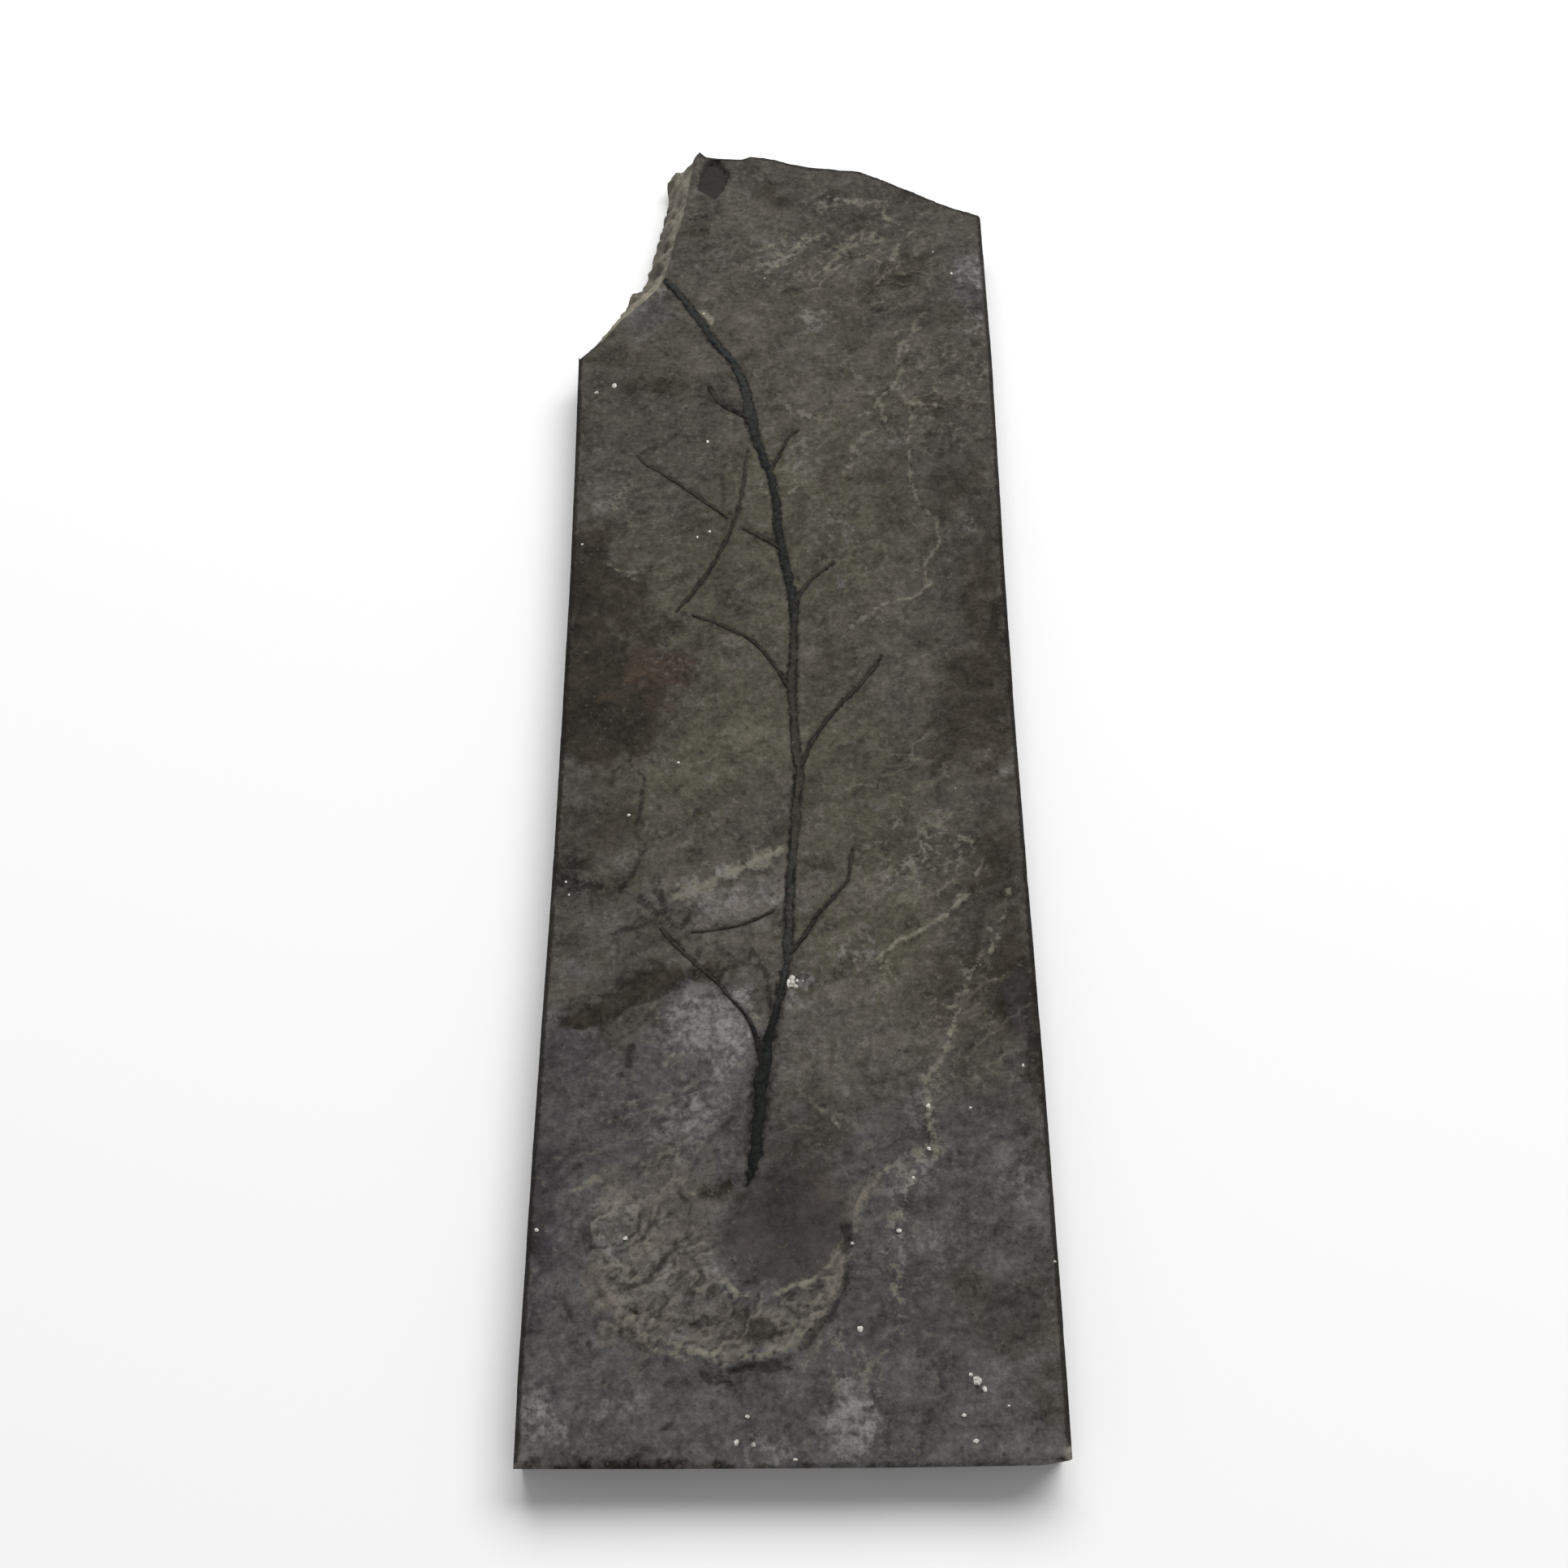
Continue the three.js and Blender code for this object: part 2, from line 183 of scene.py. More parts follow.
def off_line(x, y, line, closed=False):
    """Distance from a line, the nearest point on it, and how far along it that is, 0 to 1."""
    line = np.asarray(line, float)
    if closed:
        line = np.vstack([line, line[:1]])
    best = np.full(x.shape, 1e9)
    near = np.zeros((*x.shape, 2))
    along = np.zeros(x.shape)
    steps = np.hypot(*np.diff(line, axis=0).T)
    start = np.concatenate([[0], np.cumsum(steps)])
    for k, (p, q) in enumerate(zip(line[:-1], line[1:])):
        d = q - p
        t = np.clip(((x - p[0]) * d[0] + (y - p[1]) * d[1]) / max(d @ d, 1e-9), 0, 1)
        cx, cy = p[0] + t * d[0], p[1] + t * d[1]
        gap = np.hypot(x - cx, y - cy)
        closer = gap < best
        best = np.where(closer, gap, best)
        near[closer, 0] = cx[closer]
        near[closer, 1] = cy[closer]
        along = np.where(closer, (start[k] + t * steps[k]) / start[-1], along)
    return best, near, along


def within(x, y, outline):
    """True inside a closed outline."""
    hit = np.zeros(x.shape, bool)
    outline = np.asarray(outline, float)
    for (ax, ay), (bx, by) in zip(outline, np.roll(outline, -1, axis=0)):
        cross = (ay > y) != (by > y)
        edge = (bx - ax) * (y - ay) / ((by - ay) if by != ay else 1e-9) + ax
        hit ^= cross & (x < edge)
    return hit


def patch(x, y, outline, soft, wander=0.0, seed=1):
    """1 inside an outline and 0 outside, over a soft edge that wanders; and the edge distance."""
    wx = x + wander * cloud(x, y, 5, seed)
    wy = y + wander * cloud(x, y, 5, seed + 1)
    gap, _, _ = off_line(wx, wy, outline, closed=True)
    gap = np.where(within(wx, wy, outline), gap, -gap)
    return ramp(gap, -soft / 2, soft / 2), gap


def blot(x, y, cx, cy, rx, ry, turn=0.0, rough=0.35, seed=3):
    """A stain or swelling with uneven edges: 1 in its middle, 0 outside."""
    c, s = math.cos(math.radians(turn)), math.sin(math.radians(turn))
    u = ((x - cx) * c + (y - cy) * s) / rx
    v = (-(x - cx) * s + (y - cy) * c) / ry
    return ramp(1 - np.hypot(u, v) + rough * cloud(x, y, 0.6 * min(rx, ry) + 2, seed), 0, 0.8)


# Outlines on the face: four sheets of the next bed, the crescent and its crest, the socket, and
# the smooth hollow inside the crescent
RIGHT_SHEET = pairs(
    70,-4, 54,1, 43,9, 33,17, 25,25.5, 28,26.6, 33,28, 38,29.5, 41,33, 40,36, 40,40, 43,44, 44.5,49,
    44,54, 41,58, 38,62, 37,68, 37.4,80, 33,84, 30,88, 29.4,93, 31,99, 34.6,104, 36,110, 38,118,
    46,121.5, 55,122, 70,126)
LOWER_SHEET = pairs(
    70,-62, 57,-58, 47,-62, 42,-66, 36,-69.5, 30,-73, 26,-76, 32,-79, 41,-84, 43,-93, 41,-99,
    40,-104, 35,-108, 33.6,-117, 34,-125, 33,-129, 30,-136, 26.6,-141, 25.4,-148, 31,-156, 43,-162,
    54,-165, 70,-172)
LEFT_SHEET = pairs(
    -70,-13, -54,-15.5, -47,-18, -43.4,-22, -40.7,-26.4, -43.5,-32.7, -40.3,-36.4, -40.7,-44,
    -40.3,-49, -41.6,-56.4, -45,-59.5, -50,-59.5, -55.3,-57.3, -70,-60)
TOP_SHEET = pairs(
    -19,172, -12,174.5, -7,179, -2,181, 5,178.5, 11,177, 17,179.5, 25,176.5, 31,178, 36,174,
    29,170.5, 19,167.5, 13,162, 6,160.5, -1,165, -11,167)
CRESCENT = pairs(
    13.6,-147.5, 14,-152, 13.6,-156, 12.2,-160, 9.6,-165, 7,-168.4, 4,-171.6, 0,-175, -5,-177.2,
    -10,-178.2, -15,-179.6, -19,-178.6, -24,-176.4, -29,-175.6, -36,-173, -41,-171, -43.4,-167,
    -45,-163, -47.2,-158, -48.8,-153, -50,-146, -46,-140.5, -38,-143, -33,-139.6, -27,-144.4,
    -21.6,-147, -19,-152.4, -16.4,-157.4, -11,-161, -3,-162, 1,-159.6, 5,-158.8, 9,-156, 11.6,-151.6)
CREST = pairs(
    13,-150, 12.4,-157, 9.4,-163, 4.6,-169.4, -1,-174.2, -9,-176.6, -17,-177, -25,-174, -33,-171.6,
    -40,-167.4, -44,-160, -46.5,-151)
SOCKET = pairs(
    -25.6,195.4, -21.4,195.4, -17.8,190, -19.8,182.8, -22.6,179.8, -28,183, -27.2,190)
HOLLOW = pairs(
    -5,-112, 4,-114, 10,-122, 14,-132, 14,-146, 12,-151.4, 9,-155.6, 5,-158.4, 1,-159, -3,-160.6,
    -11,-159.6, -17.4,-155.6, -18,-148, -14.4,-140, -9,-133, -6,-122)

# Low swellings and small pits: x,y, half length,half width, rise or depth, and degrees of turn
SWELLINGS = [
    (-13,-52.5, 12,1.7, 0.4, 17), (57,148, 5.5,4.5, 0.4, 20), (28,164, 9,2.4, 0.35, 24),
    (16,152, 8,1.8, 0.35, 40), (-9,187, 6,3, 0.3, -10), (-40,-92, 9,3, 0.3, 12),
    (14,-189, 5,7, 0.35), (-56,-188, 6,4, 0.35, 10), (24,-126, 8,2.2, 0.35, 35),
    (-22,-117, 7,5, 0.25, 60),
]
PITS = [
    (1,-147.5, 13,11, 0.8), (-19,-162, 2.6,2.1, 0.9, 30), (-23,-169, 2.2,1.5, 0.7),
    (-4,-172, 3.2,1.4, 0.9, 25), (13.4,-149.6, 1.1,2, 0.9), (-31,-155, 6.4,0.8, 0.8, 48),
    (-37,-166.4, 3.4,0.8, 0.8, 12), (-15,-137, 4.5,2, 0.3, 24), (43,-183.4, 2.4,2, 0.7, 40),
    (-37,-85, 5,3.4, 0.4, 20), (-52,-92, 4.4,2.6, 0.4, 10), (-15.6,-181.6, 5,0.9, 0.6, -18),
]


def leaves(x, y):
    """The split face's own thin leaves of shale, counted upwards; each whole step is one leaf."""
    return 2.4 * cloud(x * 0.9 + y * 0.35, y * 1.5 - x * 0.5, 50, 13, 5)


def small_leaves(x, y):
    """The same, for smaller and thinner leaves."""
    return 2.0 * cloud(x * 0.8 + y * 0.4, y * 1.4 - x * 0.5, 19, 14, 5)


def crags(x, y):
    """The broken ledges of the crescent's rock, counted upwards in the same way."""
    return 1.7 * cloud(x * 0.9 + y * 0.3, y * 1.3 - x * 0.4, 13, 35, 4)


def off_hollow(x, y):
    """0 in the two smooth hollows, 1 elsewhere."""
    bowl = blot(x, y, 1, -147, 19, 15, 0, 0.1)
    socket = blot(x, y, -22.5, 187.5, 7, 11, 0, 0.1)
    return 1 - np.maximum(bowl, socket)


def ledge_lines(kind, x, y, reach):
    """Two values that fall from 1 to 0 over `reach` mm: off the lip and off the foot of each ledge."""
    value = kind(x, y)
    slope = np.hypot(kind(x + 0.4, y) - value, kind(x, y + 0.4) - value) / 0.4
    beyond = (value - np.floor(value) - 0.5) / np.maximum(slope, 0.03)
    return [np.clip(1 - np.abs(beyond + shift) / reach, 0, 1) for shift in (-0.35, 0.5)]


def face_height(x, y):
    """Height of the fossil face in mm, without the plant's imprint and the broken corner."""
    z = FACE_Z + 0.14 * cloud(x, y, 55, 11, 3) + 0.05 * cloud(x, y, 7, 12)
    z = z + LEAF * np.round(leaves(x, y)) + SMALL_LEAF * np.round(small_leaves(x, y))
    z = z + 0.07 * cloud(x * 0.8 + y * 0.5, y * 1.4 - x * 0.7, 3.2, 15, 2) * off_hollow(x, y)
    for outline, seed in ((RIGHT_SHEET, 21), (LOWER_SHEET, 23), (LEFT_SHEET, 25), (TOP_SHEET, 27)):
        z = z + FLAKE * patch(x, y, outline, 0.9, 1.0, seed)[0]
    for cx, cy, rx, ry, rise, *turn in SWELLINGS:
        z = z + rise * blot(x, y, cx, cy, rx, ry, *turn)
    lift, _ = patch(x, y, CRESCENT, 1.6, 1.2, 31)
    crest = off_line(x, y, CREST)[0] + 0.8 * cloud(x, y, 5, 33)
    z = z + lift * (0.3 + CRAG * np.round(crags(x, y)) + 0.45 * ramp(-crest, -2.6, -0.6))
    for cx, cy, rx, ry, deep, *turn in PITS:
        z = z - deep * blot(x, y, cx, cy, rx, ry, *turn)
    z = z - SOCKET_DEEP * patch(x, y, SOCKET, 0.8, 0.5, 41)[0]
    return np.minimum(z, HIGHEST)


def triples(*numbers):
    """The same, for points that have a width too."""
    return np.reshape(numbers, (-1, 3)).astype(float)


# Routes of the plant's stem and branches over the face, each point as x,y,width
STEM = triples(
    -37.6,145,2, -35,141.5,2.3, -31.5,136.5,2.5, -25.8,128,2.7, -22.5,121.7,2.6, -18.5,116,2.6,
    -15.3,111,2.7, -13,105,2.8, -11.6,99.5,2.8, -11.2,94.5,3.6, -10.3,90,3.8, -9.4,85.5,3.2,
    -7.5,80,2.8, -4.4,70,2.7, -3.3,65,2.6, -2.7,58,2.6, -2.4,50,3, 0.2,37,2.6, 1.9,28,3, 1.9,20,2.4,
    1.8,10.5,2.4, 1.1,2,2.8, 1.3,-5,2.3, 2.2,-18,2.5, 3,-24,3, 2.5,-32,2.5, 1.3,-45,2.5, 0.4,-56,2.6,
    -0.1,-70,2.6, -0.3,-76,3, -1,-81,2.4, -3,-91,2.4, -4.4,-96.4,2.7, -6.4,-105.5,3.8, -7.3,-111,3.9,
    -8.2,-123.5,3.3, -8.9,-129,3, -9.8,-133.7,2, -10.8,-136.6,1)
BRANCHES = {
    "branch_top_left": triples(
        -11,91.5,1.8, -15,94.5,1.5, -18.5,96.4,1.4, -20.7,98.6,2, -22.5,101.8,1.2, -23.6,104,1),
    "branch_top_right": triples(
        -5.2,71.6,1.4, -3.5,75.5,1.3, -1.6,79,1.1, -0.3,81.8,1, 1.1,85,1, 3.8,87.3,1),
    "branch_long_left": triples(
        -1.6,45.4,1.6, -6.2,48.6,1.5, -9.8,50.9,1.3, -12.8,52.3,1),
    "branch_long_left_tip": triples(
        -17.6,56,1.1, -19.8,58.2,1.2, -24.4,62.3,1.2, -28.9,65.9,1.1, -33.5,69.5,1.1, -38,73.2,1.1,
        -42.1,75.5,1, -44.5,78.5,1),
    "twig_across": triples(
        -31.8,24.5,1, -28.9,28.2,1.2, -25.3,33.5,1.3, -21.6,39.5,1.2, -18.9,45.5,1.2, -16.6,51,1.1,
        -14.6,57.3,1.1, -13.3,63.6,1, -12.5,70,1, -11.5,80,1),
    "branch_middle_right": triples(
        1.6,25.6,1.8, 3.8,30.5,1.6, 6.5,34.5,1.3, 10.2,37.7,1, 13.4,40.4,1),
    "branch_middle_left": triples(
        1.2,-1.6,1.8, -2.5,5,1.5, -5.3,9.5,1.4, -8.5,13.6,1.2, -12.5,16.8,1.2, -16.6,18.6,1.1,
        -21.6,21.4,1, -27,23.2,1),
    "branch_long_right": triples(
        2.8,-25.6,1.8, 4.3,-22.4,1.6, 5.6,-18.2,1.5, 8.4,-13.6,1.4, 11.1,-9.5,1.3, 15.6,-4.1,1.2,
        20.2,0.5,1.2, 23.8,5.5,1.3, 26.6,10,1.1),
    "branch_low_right": triples(
        -0.6,-78.4,1.8, 3.8,-73.2,1.5, 7.5,-66.8,1.3, 12,-61.8,1.2, 15.4,-57.9,1, 16.2,-53.6,1,
        17,-48.4,1),
    "twig_thin_left": triples(
        -3.9,-65.6,1, -8,-67.7,1, -13.5,-70,1, -20.7,-71.2,1, -25.6,-71.7,1),
    "branch_low_left": triples(
        -7,-107,2.4, -8.9,-98.2,1.6, -11.6,-93.6,1.3, -15.3,-89.5,1.2, -18.9,-85,1.3,
        -22.5,-81.8,1.3, -28,-76.8,1.2, -31.6,-73.2,1.2, -33.8,-70.4,1),
}


def lengths_along(line):
    """How far along a line each of its points is."""
    return np.concatenate([[0], np.cumsum(np.hypot(*np.diff(line, axis=0).T))])


def off_route(x, y, route):
    """Distance from the margin of a stem or branch, below 0 on it."""
    route = np.array(route)
    gap, _, along = off_line(x, y, route[:, :2])
    lengths = lengths_along(route[:, :2])
    return gap - np.interp(along, lengths / lengths[-1], route[:, 2]) / 2


def points_of(mesh):
    """A mesh's vertices, as rows of x, y and z."""
    flat = np.empty(len(mesh.vertices) * 3)
    mesh.vertices.foreach_get("co", flat)
    return flat.reshape(-1, 3)


def keep(mesh, name, values, most=1.0):
    """Stores a value from 0 to `most` at every vertex of a mesh."""
    stored = mesh.attributes.new(name, "FLOAT", "POINT")
    stored.data.foreach_set("value", np.clip(values, 0, most).astype(np.float32))


bpy.ops.object.select_all(action="DESELECT")
columns, rows = round(PLATE_WIDE / GRID), round(PLATE_LONG / GRID)
bpy.ops.mesh.primitive_grid_add(x_subdivisions=columns, y_subdivisions=rows, size=1)
slab = bpy.context.object
slab.name = "shale_plate"
mesh = slab.data
x, y, _ = (points_of(mesh) * (PLATE_WIDE, PLATE_LONG, 1)).T.copy()

# Squares with their middle outside the outline go later; the rim of the rest is drawn onto it
squares = np.empty(len(mesh.polygons) * 4, int)
mesh.polygons.foreach_get("vertices", squares)
squares = squares.reshape(-1, 4)
inside = within(x[squares].mean(axis=1), y[squares].mean(axis=1), OUTLINE)
used = np.zeros(len(x), int)
np.add.at(used, squares[inside].ravel(), 1)
rim = (used > 0) & (used < 4)
_, near, _ = off_line(x[rim], y[rim], OUTLINE, closed=True)
x[rim], y[rim] = near[:, 0], near[:, 1]

# The foot of the broken corner is ragged
at_foot = off_line(x, y, FOOT)[0] < 0.05
_, near, _ = off_line(x[at_foot], y[at_foot], BRINK)
inward = near - np.stack([x[at_foot], y[at_foot]], axis=1)
inward /= np.maximum(np.hypot(*inward.T), 1.0)[:, None]
nibble = 0.7 * np.clip(0.4 + cloud(x[at_foot], y[at_foot], 2.6, 55, 2), 0, 1.3)
x[at_foot] += inward[:, 0] * nibble
y[at_foot] += inward[:, 1] * nibble

# Vertices beside the brink of the broken corner are drawn onto it, so that it stays a clean edge
gap, near, _ = off_line(x, y, BRINK)
onto = (gap < 0.5 * GRID) & ~rim
x[onto], y[onto] = near[onto, 0], near[onto, 1]

# How far down the broken corner each vertex is: 0 at the brink, 1 at the foot
corner = np.vstack([BRINK, FOOT[::-1]])
to_brink = off_line(x, y, BRINK)[0]
to_foot = off_line(x, y, FOOT)[0] * ~at_foot
broken = (within(x, y, corner) | at_foot) & (to_brink > 0.05)
share = to_brink / np.maximum(to_brink + to_foot, 1e-6)
share = share + (0.12 * cloud(x, y, 9, 51, 3) + 0.14 * cloud(x, y, 3, 54, 2)) * ramp(share, 0, 0.2)

z = face_height(x, y)
gap_stem = off_route(x, y, STEM)
gap_plant = gap_stem
for route in BRANCHES.values():
    gap_plant = np.minimum(gap_plant, off_route(x, y, route))
z -= IMPRINT * ramp(-gap_plant, -0.9, 0.4)

ledge = np.full(x.shape, FACE_Z)
upper = FACE_Z
for top, from_share in BEDS:
    ledge -= (upper - top) * ramp(share, from_share - 0.02, from_share + 0.16)
    upper = top
ledge += 1.1 * cloud(x, y, 4, 52) * ramp(share, 0.05, 0.3)
z = np.where(broken, np.minimum(ledge, z), z)

edge_gap = off_line(x, y, OUTLINE, closed=True)[0]
z -= EDGE_WEAR * ramp(-edge_gap, -0.9, 0)
z -= 0.03 * np.abs(cloud(x, y, 1.6, 53, 2))


# What colours the face, each a value from 0 to 1 at every vertex: mineral stains, veins and cracks,
# with painted shade along the edges and at the foot of steps.
# A stain is patches: x,y, half length,half width, strength, and degrees of turn if it has any
STAINS = {
    "rock": [
        (-42,-146, 9,8, 0.9), (-30,-138, 10,4, 0.5, 10), (-34,-156, 14,12, 1, 20),
        (-30,-168, 14,7, 1, 10), (-12,-170, 15,6, 1, -4), (4,-165, 9,7, 1, 40),
        (10,-156, 4,6, 1, -20), (-22,-156, 8,8, 0.8), (-46,-158, 4,9, 0.8, 10),
        (-24,-130, 8,10, 0.4, 50), (16,-140, 3,8, 0.7, -40), (28,-138, 6,8, 0.5),
        (14,-100, 24,24, 0.42), (14,-126, 14,12, 0.4), (-14,-60, 22,10, 0.55, 10),
        (-24,-146, 9,9, 0.8), (-32,-139, 14,8, 0.8), (-46,-136, 8,6, 0.5), (4,-176, 10,4, 0.3),
        (20,-148, 6,10, 0.4), (-18,-70, 14,10, 0.3), (16,-62, 18,14, 0.4, 20), (-16,12, 22,20, 0.25),
        (14,100, 22,24, 0.3), (40,-118, 10,12, 0.3),
    ],
    "olive": [
        (-8,40, 36,66, 0.9), (16,66, 28,44, 0.8), (-12,-18, 36,36, 1), (22,-40, 24,40, 0.8),
        (18,-72, 22,16, 0.9), (-38,22, 12,12, 0.9), (-40,120, 20,20, 0.4), (20,110, 30,24, 0.7),
        (-50,-66, 12,20, 0.5), (0,140, 30,20, 0.4), (26,-120, 14,12, 0.3),
    ],
    "brown": [
        (0,177, 14,8, 0.75, -12), (18,167.5, 14,4.5, 0.5), (-31,166, 9,8, 0.6),
        (32,145, 16,8, 0.7, 10), (-50,117, 11,7, 0.5, 30), (-40,104, 18,4, 0.7, 4),
        (46,132, 12,5, 0.5, 10), (1,-146, 15,13, 0.7), (-16,-137, 6,4, 0.9, 20),
        (6,-126, 14,12, 0.5), (-57,18, 8,42, 1), (-52,-14, 13,12, 1), (-48,6, 15,20, 1),
        (-50,34, 11,12, 0.7), (-43,-4, 15,13, 0.9), (-42,20, 10,12, 0.5), (-37,-86, 11,4.5, 1, 16),
        (-50,-94, 9,3.6, 1, 12), (-22,-83, 8,3, 0.9), (-52,-40, 12,16, 0.6), (58,34, 8,46, 0.6),
        (57,8, 9,36, 0.6), (52,-8, 14,24, 0.7), (58,-94, 8,24, 1), (46,-90, 10,14, 0.5),
        (55,-56, 10,20, 0.6), (-12,-168, 18,5, 0.6, -6), (50,-166, 13,8, 0.1, -10),
        (-23,-160, 6,5, 0.5, 40), (-6,-171, 8,3, 0.4), (4,-163, 5,4, 0.4, 40), (26,70, 11,8, 0.4),
        (13,68, 6,7, 0.4), (52,97, 9,4, 0.7), (36,96, 10,5, 0.4), (46,62, 8,14, 0.5),
        (34,-124, 6,8, 0.3), (-60,90, 3,20, 0.5), (12,8, 12,7, 0.4, 20), (28,-22, 10,8, 0.4, 20),
        (-22,0, 8,5, 0.3, 20),
    ],
    "blue": [
        (0,-178, 84,46, 0.95), (-40,-130, 30,24, 0.8), (40,-136, 34,20, 0.8), (8,-188, 44,14, 0.9),
        (-58,-150, 12,50, 1), (-50,-178, 22,24, 0.8), (-30,-112, 32,22, 0.7),
        (-20,-95, 15,11, 1, 20), (-56,-112, 12,14, 1), (55,-142, 16,14, 0.9), (40,-184, 28,18, 0.8),
        (-12,-64, 20,7, 0.5), (-57,70, 8,20, 0.4), (59,146, 6,12, 0.7), (-46,-66, 16,18, 0.3),
        (24,-164, 16,24, 0.7), (-58,-40, 6,20, 0.3), (40,-120, 20,16, 0.4), (-43,131, 9,8, 0.6, 40),
        (-24,156, 14,7, 0.3), (14,-189, 8,12, 0.6),
    ],
    "violet": [
        (-60,-140, 6,26, 0.9), (60,-96, 6,18, 0.6), (54,-116, 10,12, 0.5), (0,-142, 16,14, 0.5),
        (50,-166, 12,7, 0.5, -10), (-58,-186, 8,12, 0.5), (-24,187, 6,8, 0.4),
        (-12,-122, 16,10, 0.4), (-57,-104, 8,10, 0.5),
    ],
    "rust": [
        (-35,5, 10,6, 1, 10), (-31,8, 6,4, 1), (-40,9, 7,4, 0.7), (-29,3, 5,4, 0.9),
        (-37,-6, 8,4, 0.9, 20), (-55,-16, 8,8, 0.4), (-58,26, 5,18, 0.4), (-49,-3, 5,4, 0.5),
    ],
    "dark": [
        (-58,12, 7,40, 0.4), (-54,-15, 11,10, 0.45), (-60,30, 4,22, 0.5), (-36,-85, 6,3, 0.3, 12),
        (-53,-93, 8,3, 0.2, 10), (-30,-86, 5,2, 0.3, 30), (-24,-83, 6,2.4, 0.4),
        (-42,-64, 14,5, 0.4), (-16,-137, 5,2.6, 0.3, 20), (-50,-58, 12,4, 0.5), (-60,-54, 6,4, 0.5),
        (-46,-91, 14,3, 0.15, 16), (-20,-167, 5,3, 0.2, 20), (-2,-168, 6,1.6, 0.3, 10),
        (-12,-165, 4,1.6, 0.2), (-60,-145, 4,9, 0.5), (49,-164, 10,5, 0.3, -8), (54,-172, 8,4, 0.25),
        # Painted shade along the near edge: the bands at -38,-199.5 and 20,-200. On the next line, the
        # bands at 62,-100, 61,20 and -62,-110 make the sides darker
        (-4,180, 10,4, 0.15), (-38,-199.5, 24,2.6, 0.9), (20,-200, 50,1.4, 0.6),
        (43.5,-184, 2.4,1.8, 0.5), (62,-100, 4,24, 0.6), (61,20, 4,34, 0.6), (-62,-110, 3,20, 0.3),
        (-28,-187, 4,4, 0.4), (-58,-60, 7,5, 0.5), (-50,117, 8,4, 0.2, 30),
        (-40,104, 14,2.4, 0.3, 4), (30,134, 3,2, 0.5), (21,154, 2,4, 0.6), (0,-148, 12,9, 0.4),
        (-57,-52, 5,3, 0.4), (-19,-162, 4,3, 0.6, 30), (-22,-169, 4,2, 0.6), (-5,-172, 4,2, 0.6, 25),
        (-31,-66, 8,6, 0.15), (27,173, 5,2.6, 0.15), (-28,164, 6,1.6, 0.4, 10),
        (-30,171, 6,1.4, 0.4, 12),
    ],
    "bloom": [
        (59,148, 6,5, 0.7, 20), (60,128, 3.5,8, 0.4), (61,112, 3,8, 0.3), (14,-190, 6,9, 0.9),
        (-59,-190, 6,6, 0.75), (-19,-95, 12,8, 0.9, 20), (-28,-98, 6,5, 0.6),
        (-14,-104, 7,5, 0.6, 30), (-6,-196, 6,4, 0.6, 40), (-40,-186, 7,5, 0.4),
        (38,-150, 10,6, 0.3), (-28,-120, 9,5, 0.5, 40), (-14,-90, 6,1.4, 0.7, 30),
        (57,-138, 8,8, 0.3), (60,-27, 3,2.6, 0.8), (52.5,53, 2.8,3.4, 0.5), (15.5,34, 1.4,2.8, 0.7),
        (-40,139, 5,6, 0.4, 40), (-22,-122, 10,7, 0.35, 60), (30,-136, 6,8, 0.45),
        (26,-150, 3,9, 0.5), (-13,-54, 13,3, 0.6, 17), (-12,-62, 16,5, 0.45, 10),
        (14,-78, 9,4, 0.45, 10), (6,78, 6,8, 0.3), (14,56, 8,10, 0.3), (2,156, 12,6, 0.45, 30),
        (18,178, 9,2.6, 0.5), (9,129, 8,5, 0.35, 30), (-12,178, 3,5, 0.2), (-57,60, 6,8, 0.1),
        (-30,-44, 12,5, 0.2, 25), (36,-54, 12,6, 0.3, 25), (32,-116, 4,8, 0.4), (-44,-146, 9,8, 0.5),
        (-30,-162, 16,9, 0.4, 20), (-8,-168, 14,5, 0.4, 10), (8,-162, 4,8, 0.4, -30),
        (-14,190, 4,4, 0.4), (34,167, 8,4, 0.3, -30), (53,-72, 3,5, 0.5), (1,-90, 3,3, 0.6),
        (5,-85, 3,2, 1), (58,96, 3,6, 0.3), (30,84, 6,10, 0.25), (-48,62, 6,6, 0.15),
    ],
    "leafy": [
        (36,-55, 26,38, 0.9), (44,105, 22,22, 0.7), (4,150, 26,14, 0.6), (-34,-138, 18,12, 0.5),
        (-42,60, 14,16, 0.4), (22,48, 20,20, 0.4), (48,-100, 16,16, 0.5), (8,70, 16,14, 0.4),
        (0,-118, 14,10, 0.4), (-22,-96, 14,10, 0.7), (-36,-120, 20,14, 0.7), (14,-184, 12,14, 0.5),
        (-46,-180, 14,14, 0.4), (36,146, 20,20, 0.5), (-10,20, 16,30, 0.25),
    ],
}
